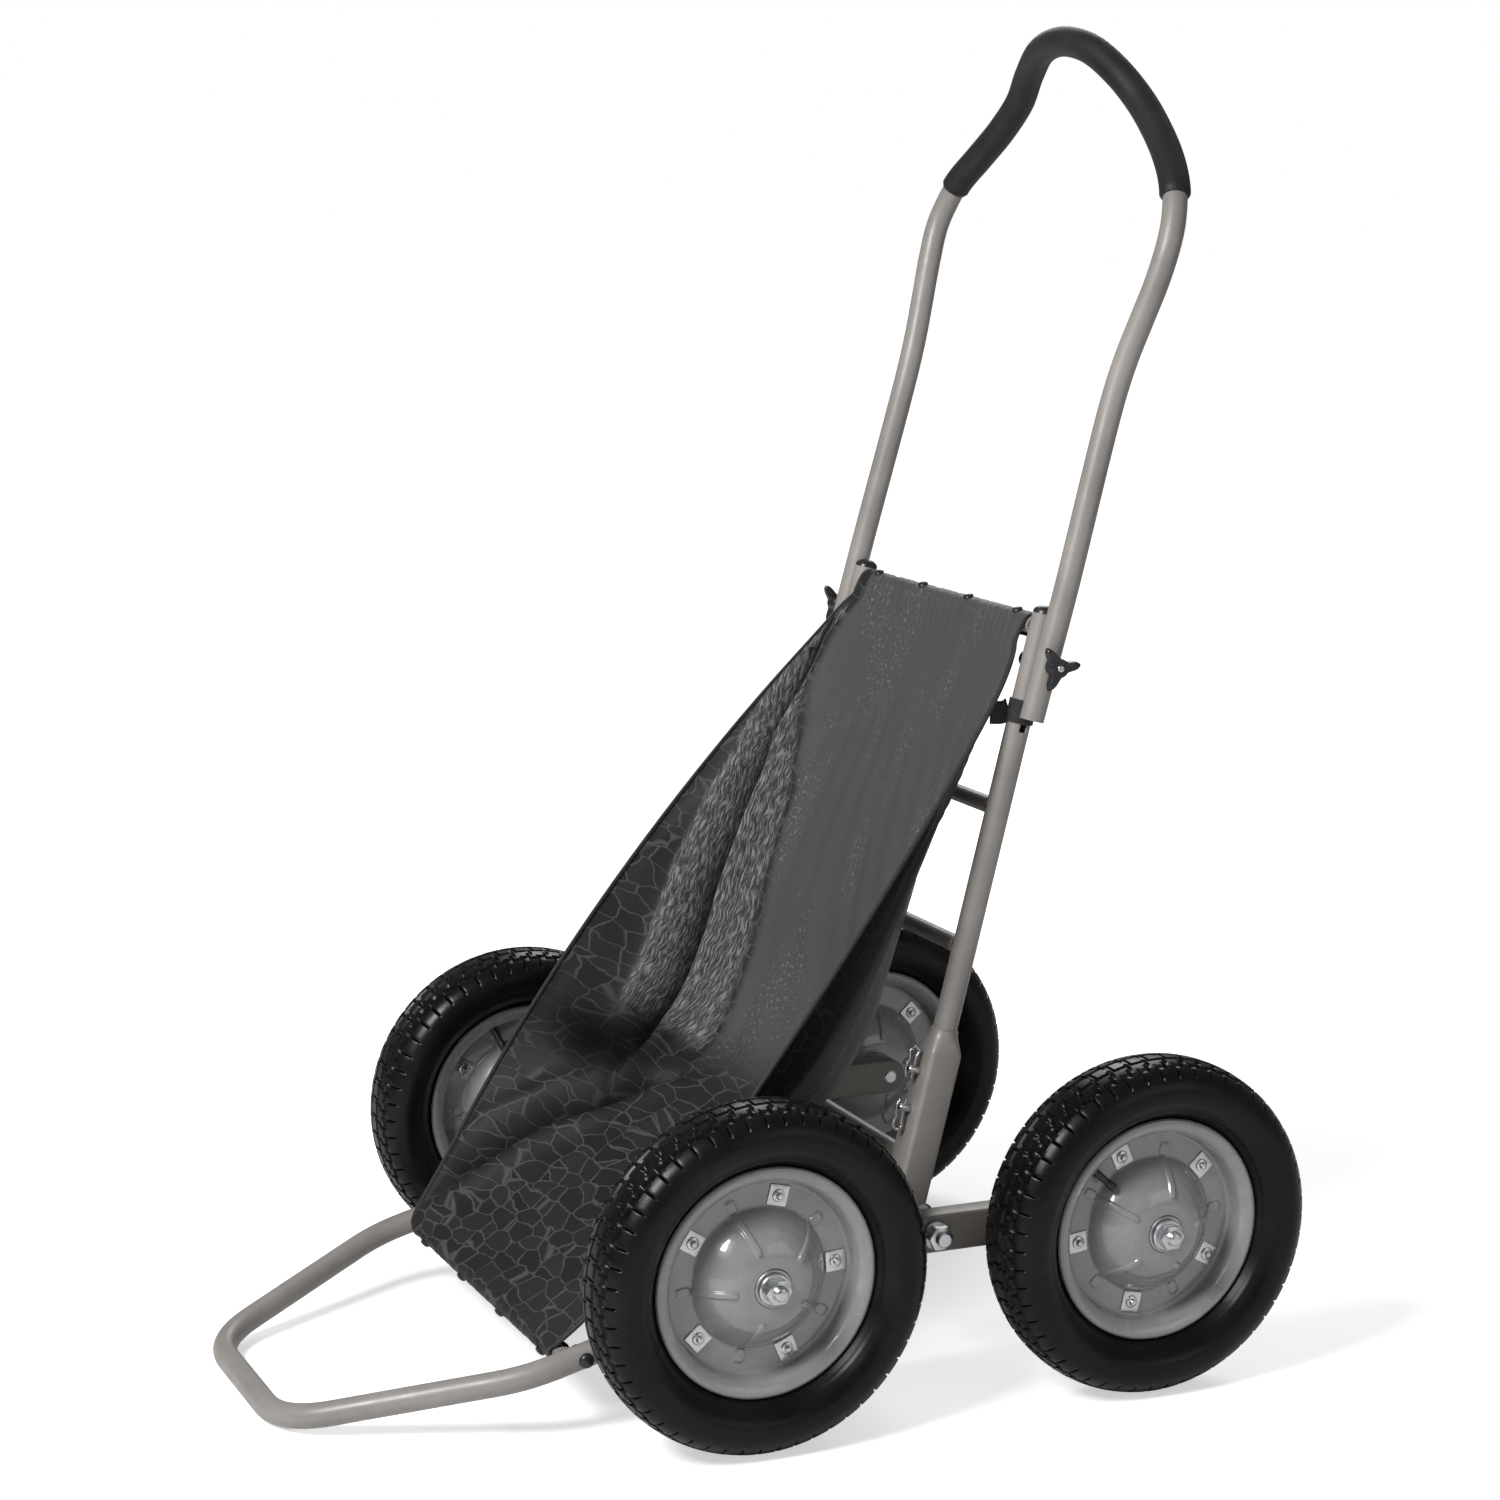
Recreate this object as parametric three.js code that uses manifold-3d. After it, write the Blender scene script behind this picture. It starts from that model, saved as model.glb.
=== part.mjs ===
// Four-wheel game cart: leaning side frame, nose loop, fold-down handle, hammock sling,
// and two walking beams that carry two pneumatic wheels each.
// Millimetres. +X is the cart's left-right axis, -Y is forward to the nose, +Z is up.
import * as THREE from 'three';
import { mergeVertices } from 'three/addons/utils/BufferGeometryUtils.js';
import Module from 'manifold-3d';

const wasm = await Module();
wasm.setup();

// ---------------------------------------------------------------- driving dimensions
const TYRE_RADIUS = 178;          // 14 inch pneumatic barrow tyre
const TYRE_HALF_WIDTH = 44;
const TYRE_SIDES = 26;            // a flat faces down, so the crown corners stand a little further out
const CROWN_RADIUS = TYRE_RADIUS / Math.cos(Math.PI / TYRE_SIDES);
const RIM_SEAT_RADIUS = 101.6;    // 8 inch bead seat
const RIM_LIP_RADIUS = 116;
const RIM_SHEET = 2.4;            // pressed steel thickness
const TRACK_HALF = 328;           // wheel mid-plane from the centreline
const HALF_WHEELBASE = 221.5;
const AXLE_Z = TYRE_RADIUS;
const AXLE_RADIUS = 8;
const AXLE_END = 61;              // stub axle end past the wheel mid-plane

const BEAM_INNER = 254;
const BEAM_OUTER = 281;
const BEAM_HEIGHT = 40;
const BEAM_WALL = 3;
const BUSH_RADIUS = 12;
const BUSH_PROUD = 0.5;           // bush and stub axle ends stand this far out of the beam's inner face
const PIVOT_ROD_HALF = 303;
const NUT_FLANGE = 3;
const NUT_CORNER = 13.6;          // hexagon corner radius, 24 mm across flats
const NUT_BODY = 11;
const HUB_RADIUS = 19.5;
const HUB_HALF = 40;

const TUBE_RADIUS = 12.7;         // 1 inch tube
const TUBE_WALL = 1.8;
const UPRIGHT_X = 204.5;
const UPRIGHT_BOTTOM = 30;        // distances up the upright are from the pivot rod
const UPRIGHT_TOP = 639;
const LEAN = THREE.MathUtils.degToRad(13.33);

const SOCKET_SIZE = 36;           // square knuckle socket
const SOCKET_BOTTOM = -20;
const SOCKET_TOP = 198;
const SOCKET_BORE = 26.6;
const PIN_HEIGHTS = [110, 151];
const PIN_RADIUS = 4;
const PIN_TIP = -32;              // the pin's tip, in front of the socket
const PIN_HEAD_RADIUS = 7;
const PIN_HEAD = 3.5;
const CLIP_Y = -26;               // cross hole for the clip, behind the pin's tip
const CLIP_WIRE = 1.25;

const BASE_X = 235.5;
const BASE_SHOULDER = 440;        // corner where the side runs turn in towards the nose
const NOSE_REACH = 664;
const NOSE_HALF = 120;
const BASE_REAR = -16;
const BASE_DROP = Math.asin((AXLE_Z - TUBE_RADIUS) / NOSE_REACH);

const TOP_BAR_HEIGHT = 625;
const TOP_BAR_RADIUS = 9.5;
const UPPER_BAR_HEIGHT = 434;
const LOWER_BAR_HEIGHT = 285;
const CROSSBAR_RADIUS = 9;
const CROSSBAR_WALL = 1.5;
const KNUCKLE_BAR_HEIGHT = 57;
const KNUCKLE_BAR_RADIUS = 8;
const HEM_BAR_REACH = 394;
const HEM_BAR_RADIUS = 8;
const HEM_CLOTH = 3;
const HEM_BAR_END_GAP = 1.2;      // the base tube's facets stand a little outside its true radius

const FOLD_Y = 136;               // clamp bolt axis, on which the handle folds
const FOLD_Z = 752;
const FOLD_HEIGHT = Math.hypot(FOLD_Y, FOLD_Z - AXLE_Z);
const SPARE_HOLE = 8.5;           // spare square hole, below the clamp bolt
const SPARE_HOLE_DROP = 70;
const CLAMP_BOLT_RADIUS = 4;
const HANDLE_X = 231;
const HANDLE_STEPS = 40;
const GRIP_RADIUS = 16;
const GRIP_FIRST_STEP = 13;       // of the handle's steps, counted from either foot
const KNOB_FACE = HANDLE_X + TUBE_RADIUS + 0.6;
const KNOB_POINTS = 30;
const KNOB_STEM_RADIUS = 9.5;
const KNOB_STEM = 12;
const KNOB_WING = 15.5;
const KNOB_WING_FOOT = 9;
const KNOB_WING_DEPTH = 8;

const SLING_TOP_HALF = 187;
const SLING_HEM_HALF = 209;
const SLING_FLARE = 50;           // how far the slack edges stand out between the bars
const FLARE_START = 0.03;         // share of the length that stays inside the uprights
const SLING_THICKNESS = 5;
const SLING_BELLY_POWER = 2.4;    // how flat the belly is across its width

const CLEARANCE = 0.3;
const THROUGH = 600;              // longer than any bore that a cutting rod makes

const FRONT = -(NOSE_REACH * Math.cos(BASE_DROP) + TUBE_RADIUS);
const REAR = HALF_WHEELBASE + CROWN_RADIUS;
const ORIGIN_SHIFT = -(FRONT + REAR) / 2;

// ---------------------------------------------------------------- materials
const paint = (color, roughness, metalness) => new THREE.MeshStandardMaterial({ color, roughness, metalness });
const FRAME_PAINT = paint(0x8f8781, 0.45, 0.4);
const RIM_PAINT = paint(0x7c7d7e, 0.3, 0.5);
const TYRE_RUBBER = paint(0x1b1b1c, 0.8, 0);
const GRIP_FOAM = paint(0x161616, 0.6, 0);
const BLACK_PLASTIC = paint(0x101011, 0.4, 0);
const ZINC = paint(0xc4c6c8, 0.3, 0.9);
const BRONZE = paint(0x8d744c, 0.4, 0.8);
const MESH_FABRIC = paint(0x3b3b3d, 0.85, 0);

// ---------------------------------------------------------------- solids
function toManifold(geometry) {
  const bare = geometry.clone();
  bare.deleteAttribute('normal');
  bare.deleteAttribute('uv');
  const merged = mergeVertices(bare, 1e-3);
  return new wasm.Manifold(new wasm.Mesh({
    numProp: 3,
    vertProperties: new Float32Array(merged.attributes.position.array),
    triVerts: new Uint32Array(merged.index.array),
  }));
}

function toGeometry(manifold) {
  const mesh = manifold.getMesh();
  const geometry = new THREE.BufferGeometry();
  geometry.setAttribute('position', new THREE.BufferAttribute(mesh.vertProperties, 3));
  geometry.setIndex(new THREE.BufferAttribute(mesh.triVerts, 1));
  return geometry;
}

function cut(geometry, ...tools) {
  return toGeometry(tools.reduce((rest, tool) => rest.subtract(toManifold(tool)), toManifold(geometry)));
}

function join(geometry, ...others) {
  return toGeometry(others.reduce((sum, other) => sum.add(toManifold(other)), toManifold(geometry)));
}

// A ring or pipe about Z from a closed list of [radius, height] corners, taken anticlockwise.
function lathe(corners, sides) {
  const closed = [...corners, corners[0]];
  const profile = closed.map(([radius, height]) => new THREE.Vector2(radius, height));
  return new THREE.LatheGeometry(profile, sides).rotateX(Math.PI / 2);
}

function pipe(outer, inner, length, sides) {
  return lathe([[inner, 0], [outer, 0], [outer, length], [inner, length]], sides);
}

function cylinder(radius, length, sides) {
  const upright = new THREE.CylinderGeometry(radius, radius, length, sides).rotateX(Math.PI / 2);
  return upright.translate(0, 0, length / 2);
}

// Turns a solid built up +Z so that it runs along +X from x = 0.
function alongX(geometry) {
  return geometry.rotateY(Math.PI / 2);
}

// A cutting rod along X, through the whole cart.
function crossHole(radius, sides) {
  return alongX(cylinder(radius, THROUGH, sides)).translate(-THROUGH / 2, 0, 0);
}

function circle(radius, sides) {
  const points = [];
  for (let i = 0; i < sides; i++) {
    const angle = (2 * Math.PI * i) / sides;
    points.push(new THREE.Vector2(radius * Math.cos(angle), radius * Math.sin(angle)));
  }
  return points;
}

function sweptRod(path, radius, sides, steps) {
  return new THREE.ExtrudeGeometry(new THREE.Shape(circle(radius, sides)), {
    extrudePath: path, steps, bevelEnabled: false,
  });
}

function sweptTube(path, radius, wall, sides, steps) {
  const section = new THREE.Shape(circle(radius, sides));
  section.holes.push(new THREE.Path(circle(radius - wall, sides - 4)));
  return new THREE.ExtrudeGeometry(section, { extrudePath: path, steps, bevelEnabled: false });
}

// ---------------------------------------------------------------- assembly tree
const gameCart = new THREE.Group();
const cart = new THREE.Group();                 // y = 0 on the pivot rod
cart.position.y = ORIGIN_SHIFT;
gameCart.add(cart);

const leaning = new THREE.Group();              // +Z runs up the uprights from the pivot rod
leaning.position.z = AXLE_Z;
leaning.rotation.x = -LEAN;
cart.add(leaning);

const sloping = new THREE.Group();              // -Y runs down the base loop to the nose
sloping.position.z = AXLE_Z;
sloping.rotation.x = BASE_DROP;
cart.add(sloping);

const SIDES = [['right', -1], ['left', 1]];     // as seen by a person behind the cart
const ENDS = [['front', -1], ['rear', 1]];

function place(parent, name, geometry, material, x = 0, y = 0, z = 0) {
  const mesh = new THREE.Mesh(geometry, material);
  mesh.name = name;
  mesh.position.set(x, y, z);
  parent.add(mesh);
  return mesh;
}

// ---------------------------------------------------------------- base loop
// Side runs, a turn-in at each shoulder, and a blunt nose: straight runs joined by curved corners.
function roundedRoute(corners, tangents) {
  const route = new THREE.CurvePath();
  let from = corners[0];
  for (let i = 1; i < corners.length - 1; i++) {
    const corner = corners[i];
    const toward = (other) => other.clone().sub(corner).setLength(tangents[i - 1]).add(corner);
    const start = toward(corners[i - 1]);
    const end = toward(corners[i + 1]);
    route.add(new THREE.LineCurve3(from, start));
    route.add(new THREE.QuadraticBezierCurve3(start, corner, end));
    from = end;
  }
  route.add(new THREE.LineCurve3(from, corners[corners.length - 1]));
  return route;
}

const baseCorners = [
  [-BASE_X, -BASE_REAR], [-BASE_X, -BASE_SHOULDER], [-NOSE_HALF, -NOSE_REACH],
  [NOSE_HALF, -NOSE_REACH], [BASE_X, -BASE_SHOULDER], [BASE_X, -BASE_REAR],
].map(([x, y]) => new THREE.Vector3(x, y, 0));
const baseRoute = roundedRoute(baseCorners, [32, 54, 54, 32]);
const pivotHole = crossHole(AXLE_RADIUS + CLEARANCE, 16);
place(sloping, 'base_loop', cut(sweptTube(baseRoute, TUBE_RADIUS, TUBE_WALL, 10, 34), pivotHole), FRAME_PAINT);

const hemBarHalf = BASE_X - TUBE_RADIUS - HEM_BAR_END_GAP;
place(sloping, 'sling_bottom_bar', alongX(cylinder(HEM_BAR_RADIUS, 2 * hemBarHalf, 14)), FRAME_PAINT,
  -hemBarHalf, -HEM_BAR_REACH, 0);

// ---------------------------------------------------------------- knuckle sockets, pins and clips
function squareSocket() {
  const half = SOCKET_SIZE / 2;
  const bore = SOCKET_BORE / 2;
  const section = new THREE.Shape([[-half, -half], [half, -half], [half, half], [-half, half]]
    .map(([x, y]) => new THREE.Vector2(x, y)));
  section.holes.push(new THREE.Path([[-bore, -bore], [bore, -bore], [bore, bore], [-bore, bore]]
    .map(([x, y]) => new THREE.Vector2(x, y))));
  const depth = SOCKET_TOP - SOCKET_BOTTOM;
  const tube = new THREE.ExtrudeGeometry(section, { depth, bevelEnabled: false })
    .translate(0, 0, SOCKET_BOTTOM);
  return cut(tube, pivotHole, ...PIN_HEIGHTS.map((height) => pinHole(height)));
}

function pinHole(height) {
  return cylinder(PIN_RADIUS + CLEARANCE, THROUGH, 8).rotateX(Math.PI / 2).translate(0, THROUGH / 2, height);
}

// A clevis pin that runs front to back: head behind the socket, cross hole in the tip.
function clevisPin() {
  const back = SOCKET_SIZE / 2 + CLEARANCE;
  const shank = cylinder(PIN_RADIUS, back - PIN_TIP, 8).rotateX(Math.PI / 2).translate(0, back, 0);
  const head = cylinder(PIN_HEAD_RADIUS, PIN_HEAD, 12).rotateX(Math.PI / 2).translate(0, back + PIN_HEAD, 0);
  const clipHole = cylinder(CLIP_WIRE + 0.35, 4 * PIN_RADIUS, 8).translate(0, CLIP_Y, -2 * PIN_RADIUS);
  return cut(join(shank, head), clipHole);
}

// A hairpin clip: straight leg through the pin, spring coil, and a bowed leg over the pin's tip.
function hairpinClip() {
  const route = new THREE.CatmullRomCurve3([
    [0, 0, -9], [0, 0, 0], [0, 0, 8], [0, 0.5, 14], [0, 2.5, 20], [0, -3, 24], [0, -8.5, 19], [0, -8.2, 11],
    [0, -9.2, 0], [0, -8.1, -8],
  ].map((p) => new THREE.Vector3(...p)), false, 'centripetal');
  return sweptRod(route, CLIP_WIRE, 5, 18);
}

for (const [side, sign] of SIDES) {
  const x = sign * UPRIGHT_X;
  place(leaning, `knuckle_socket_${side}`, squareSocket(), FRAME_PAINT, x);
  ['lower', 'upper'].forEach((level, index) => {
    place(leaning, `retaining_pin_${side}_${level}`, clevisPin(), ZINC, x, 0, PIN_HEIGHTS[index]);
    const clip = place(leaning, `r_clip_${side}_${level}`, hairpinClip(), ZINC, x, CLIP_Y, PIN_HEIGHTS[index]);
    if (level === 'lower') clip.rotation.set(0, Math.PI, 0);
  });
}

// ---------------------------------------------------------------- uprights and crossbars
function upright() {
  const length = UPRIGHT_TOP - UPRIGHT_BOTTOM;
  const tube = pipe(TUBE_RADIUS, TUBE_RADIUS - TUBE_WALL, length, 14).translate(0, 0, UPRIGHT_BOTTOM);
  const holes = PIN_HEIGHTS.map((height) => pinHole(height));
  const boltHole = crossHole(CLAMP_BOLT_RADIUS + CLEARANCE, 12).translate(0, 0, FOLD_HEIGHT);
  return cut(tube, boltHole, ...holes);
}

// Spare square hole for the clamp bolt, in the outboard wall below the handle's end.
function squareHole(sign) {
  return new THREE.BoxGeometry(TUBE_RADIUS, SPARE_HOLE, SPARE_HOLE)
    .translate(sign * TUBE_RADIUS, 0, FOLD_HEIGHT - SPARE_HOLE_DROP);
}

function uprightPlug() {
  const stem = TUBE_RADIUS - TUBE_WALL - CLEARANCE;
  const profile = [[0, -14], [stem, -14], [stem, CLEARANCE], [TUBE_RADIUS, CLEARANCE], [12, 4], [8.5, 7.5], [0, 9]];
  return new THREE.LatheGeometry(profile.map(([r, h]) => new THREE.Vector2(r, h)), 16).rotateX(Math.PI / 2);
}

// A round bar between the two uprights or sockets, its ends cut to lie against them.
function crossbar(radius, against) {
  const bar = alongX(pipe(radius, radius - CROSSBAR_WALL, 2 * UPRIGHT_X, 12)).translate(-UPRIGHT_X, 0, 0);
  return cut(bar, ...SIDES.map(([, sign]) => against().translate(sign * UPRIGHT_X, 0, 0)));
}

const roundPost = () => cylinder(TUBE_RADIUS + CLEARANCE, 60, 24).translate(0, 0, -30);
const squarePost = () => new THREE.BoxGeometry(SOCKET_SIZE + 2 * CLEARANCE, 60, 60);

for (const [side, sign] of SIDES) {
  const x = sign * UPRIGHT_X;
  place(leaning, `upright_${side}`, cut(upright(), squareHole(sign)), FRAME_PAINT, x);
  place(leaning, `upright_plug_${side}`, uprightPlug(), BLACK_PLASTIC, x, 0, UPRIGHT_TOP);
}
place(leaning, 'sling_top_bar', crossbar(TOP_BAR_RADIUS, roundPost), FRAME_PAINT, 0, 0, TOP_BAR_HEIGHT);
place(leaning, 'upper_crossbar', crossbar(CROSSBAR_RADIUS, roundPost), FRAME_PAINT, 0, 0, UPPER_BAR_HEIGHT);
place(leaning, 'lower_crossbar', crossbar(CROSSBAR_RADIUS, roundPost), FRAME_PAINT, 0, 0, LOWER_BAR_HEIGHT);
place(leaning, 'knuckle_crossbar', crossbar(KNUCKLE_BAR_RADIUS, squarePost), FRAME_PAINT,
  0, 0, KNUCKLE_BAR_HEIGHT);

// ---------------------------------------------------------------- pivot rod, beams and axles
const pivotTubeHalf = UPRIGHT_X - SOCKET_SIZE / 2 - CLEARANCE;
place(cart, 'pivot_tube', alongX(pipe(TUBE_RADIUS, AXLE_RADIUS + 0.6, 2 * pivotTubeHalf, 16)), FRAME_PAINT,
  -pivotTubeHalf, 0, AXLE_Z);
place(cart, 'pivot_rod', alongX(cylinder(AXLE_RADIUS, 2 * PIVOT_ROD_HALF, 16)), ZINC, -PIVOT_ROD_HALF, 0, AXLE_Z);

function walkingBeam() {
  const half = BEAM_HEIGHT / 2;
  const outline = new THREE.Shape();
  outline.absarc(HALF_WHEELBASE, 0, half, -Math.PI / 2, Math.PI / 2, false);
  outline.absarc(-HALF_WHEELBASE, 0, half, Math.PI / 2, (3 * Math.PI) / 2, false);
  const depth = BEAM_OUTER - BEAM_INNER;
  const bar = new THREE.ExtrudeGeometry(outline, { depth, bevelEnabled: false, curveSegments: 6 });
  const hollow = new THREE.BoxGeometry(2 * HALF_WHEELBASE, BEAM_HEIGHT - 2 * BEAM_WALL, depth - 2 * BEAM_WALL)
    .translate(0, 0, depth / 2);
  const bore = (radius, at) => cylinder(radius, THROUGH, 14).translate(at, 0, -THROUGH / 2);
  const body = cut(bar, hollow, bore(BUSH_RADIUS + 2 * CLEARANCE, 0),
    bore(AXLE_RADIUS + CLEARANCE, HALF_WHEELBASE), bore(AXLE_RADIUS + CLEARANCE, -HALF_WHEELBASE));
  return body.rotateX(Math.PI / 2).rotateZ(Math.PI / 2);
}

// Flanged hexagon nut on a 16 mm thread, its flange at x = 0 and its body outwards along +X.
function flangeNut(flangeRadius) {
  const flange = cylinder(flangeRadius, NUT_FLANGE, 14);
  const hexagon = cylinder(NUT_CORNER, NUT_BODY, 6).translate(0, 0, NUT_FLANGE);
  return cut(alongX(join(flange, hexagon)), crossHole(AXLE_RADIUS + CLEARANCE, 12));
}

// Turns what is built outwards along +X to face outwards on either side.
function faceOutboard(object, sign) {
  if (sign < 0) object.rotation.z = Math.PI;
}

for (const [side, sign] of SIDES) {
  const beam = new THREE.Group();
  beam.position.set(sign * BEAM_INNER, 0, AXLE_Z);
  faceOutboard(beam, sign);
  cart.add(beam);
  const depth = BEAM_OUTER - BEAM_INNER;
  place(beam, `walking_beam_${side}`, walkingBeam(), FRAME_PAINT);
  const bush = alongX(pipe(BUSH_RADIUS, AXLE_RADIUS + CLEARANCE, depth + 2 * BUSH_PROUD, 14));
  place(beam, `pivot_bush_${side}`, bush, BRONZE, -BUSH_PROUD, 0, 0);
  faceOutboard(place(cart, `pivot_nut_${side}`, flangeNut(15), ZINC, sign * (BEAM_OUTER + 1.6), 0, AXLE_Z), sign);
  for (const [end, direction] of ENDS) {
    const along = direction * HALF_WHEELBASE;
    const stubLength = TRACK_HALF + AXLE_END - BEAM_INNER + BUSH_PROUD;
    faceOutboard(place(cart, `stub_axle_${end}_${side}`, alongX(cylinder(AXLE_RADIUS, stubLength, 16)), ZINC,
      sign * (BEAM_INNER - BUSH_PROUD), along, AXLE_Z), sign);
    faceOutboard(place(cart, `axle_nut_${end}_${side}`, flangeNut(14), ZINC,
      sign * (TRACK_HALF + HUB_HALF + 1), along, AXLE_Z), sign);
  }
}

// ---------------------------------------------------------------- wheels
// Tyre section: two beads on the rim, bulged walls, shallow crown, open to the rim inside.
function tyre() {
  const bead = RIM_SEAT_RADIUS + 1.1;
  const outside = [
    [bead, 19.4], [RIM_LIP_RADIUS + 2, 19.6], [140, TYRE_HALF_WIDTH], [167, 35], [CROWN_RADIUS, 13],
  ];
  const inside = [[bead, 10], [140, 36], [166, 22]];
  const flipped = (points) => points.map(([r, h]) => [r, -h]);
  const section = [...flipped(outside), ...outside.slice().reverse(), ...inside, ...flipped(inside).reverse()];
  return lathe(section, TYRE_SIDES);
}

// Half rim, pressed from sheet: rolled lip, bead seat, flat bolting ring and a dome to the hub.
function rimHalf() {
  const seat = RIM_SEAT_RADIUS - RIM_SHEET;
  const web = CLEARANCE + RIM_SHEET;
  const face = [[20, 38], [47, 29.5], [70, web], [seat, web], [seat, 22], [RIM_LIP_RADIUS, 24.5]];
  const back = [[RIM_LIP_RADIUS, 22], [RIM_SEAT_RADIUS, 19.8], [RIM_SEAT_RADIUS, CLEARANCE], [68, CLEARANCE],
    [45.5, 27.3], [20, 35.6]];
  return lathe([...face, ...back].reverse(), 16);
}

function hub() {
  return pipe(HUB_RADIUS, AXLE_RADIUS + CLEARANCE, 2 * HUB_HALF, 14).translate(0, 0, -HUB_HALF);
}

for (const [side, sign] of SIDES) {
  for (const [end, direction] of ENDS) {
    const wheel = new THREE.Group();
    wheel.position.set(sign * TRACK_HALF, direction * HALF_WHEELBASE, AXLE_Z);
    wheel.rotation.y = sign * Math.PI / 2;
    cart.add(wheel);
    place(wheel, `tyre_${end}_${side}`, tyre(), TYRE_RUBBER);
    place(wheel, `outer_rim_${end}_${side}`, rimHalf(), RIM_PAINT);
    place(wheel, `inner_rim_${end}_${side}`, rimHalf(), RIM_PAINT).rotation.x = Math.PI;
    place(wheel, `hub_${end}_${side}`, hub(), ZINC);
  }
}

// ---------------------------------------------------------------- fold-down handle
// Half of the centreline, from the square-cut foot to the top of the arch, as [x, y, z].
const handleHalf = [
  [HANDLE_X, 121, 695], [HANDLE_X, FOLD_Y, FOLD_Z], [HANDLE_X, 156, 828], [227, 205, 1018], [231, 217, 1062],
  [239, 228, 1100], [248, 240, 1142], [251, 250, 1180], [246, 257, 1203], [231, 266, 1232], [202, 276, 1260],
  [165, 283, 1290], [127, 284, 1321], [93, 276, 1350], [52, 267, 1374], [0, 263, 1383],
];
const mirroredHalf = handleHalf.slice(0, -1).reverse().map(([x, y, z]) => [-x, y, z]);
const handleRoute = new THREE.CatmullRomCurve3([...handleHalf, ...mirroredHalf]
  .map((p) => new THREE.Vector3(...p)), false, 'centripetal');
const clampHoles = crossHole(CLAMP_BOLT_RADIUS + CLEARANCE, 12).translate(0, FOLD_Y, FOLD_Z);
place(cart, 'handle_tube', cut(sweptTube(handleRoute, TUBE_RADIUS, TUBE_WALL, 10, HANDLE_STEPS), clampHoles),
  FRAME_PAINT);

// The grip is a foam sleeve over the arch, bored by the tube that it is pushed over.
const gripPoints = handleRoute.getSpacedPoints(HANDLE_STEPS)
  .slice(GRIP_FIRST_STEP, HANDLE_STEPS - GRIP_FIRST_STEP + 1);
const gripRoute = new THREE.CatmullRomCurve3(gripPoints, false, 'centripetal');
const tubeBore = sweptRod(handleRoute, TUBE_RADIUS + CLEARANCE, 10, HANDLE_STEPS);
place(cart, 'handle_grip', cut(sweptRod(gripRoute, GRIP_RADIUS, 12, 14), tubeBore), GRIP_FOAM);

// ---------------------------------------------------------------- clamp bolts and knobs
function clampBolt() {
  const inboard = UPRIGHT_X - TUBE_RADIUS - CLEARANCE;
  const end = KNOB_FACE + KNOB_WING_FOOT + KNOB_WING_DEPTH + 1;
  const shank = cylinder(CLAMP_BOLT_RADIUS, end - inboard, 12).translate(0, 0, inboard);
  const head = [[0, -4], [6, -3.2], [9, 0], [0, 0]];
  const dome = new THREE.LatheGeometry(head.map(([r, h]) => new THREE.Vector2(r, h)), 16)
    .rotateX(Math.PI / 2).translate(0, 0, inboard);
  return alongX(join(shank, dome));
}

// Three wings by a polar formula: the radius swells three times round the hub.
function clampKnob() {
  const outline = [];
  for (let i = 0; i < KNOB_POINTS; i++) {
    const angle = (2 * Math.PI * i) / KNOB_POINTS;
    const swell = ((1 + Math.cos(3 * angle)) / 2) ** 2;
    const radius = KNOB_STEM_RADIUS + KNOB_WING * swell;
    outline.push(new THREE.Vector2(radius * Math.cos(angle), radius * Math.sin(angle)));
  }
  const wings = new THREE.ExtrudeGeometry(new THREE.Shape(outline), { depth: KNOB_WING_DEPTH, bevelEnabled: false })
    .translate(0, 0, KNOB_WING_FOOT);
  const stem = cylinder(KNOB_STEM_RADIUS, KNOB_STEM, 16);
  return cut(alongX(join(wings, stem)), crossHole(CLAMP_BOLT_RADIUS + CLEARANCE, 12));
}

for (const [side, sign] of SIDES) {
  faceOutboard(place(cart, `clamp_bolt_${side}`, clampBolt(), ZINC, 0, FOLD_Y, FOLD_Z), sign);
  faceOutboard(place(cart, `clamp_knob_${side}`, clampKnob(), BLACK_PLASTIC, sign * KNOB_FACE, FOLD_Y, FOLD_Z), sign);
}

// ---------------------------------------------------------------- hammock sling
// One sheet from the top bar to the hem bar: its edges flare a little between the bars, and its
// belly hangs behind them. The belly line and the edge line are blended across the width.
const topBar = new THREE.Vector3(0, TOP_BAR_HEIGHT * Math.sin(LEAN), AXLE_Z + TOP_BAR_HEIGHT * Math.cos(LEAN));
const hemBar = new THREE.Vector3(
  0, -HEM_BAR_REACH * Math.cos(BASE_DROP), AXLE_Z - HEM_BAR_REACH * Math.sin(BASE_DROP));

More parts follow.
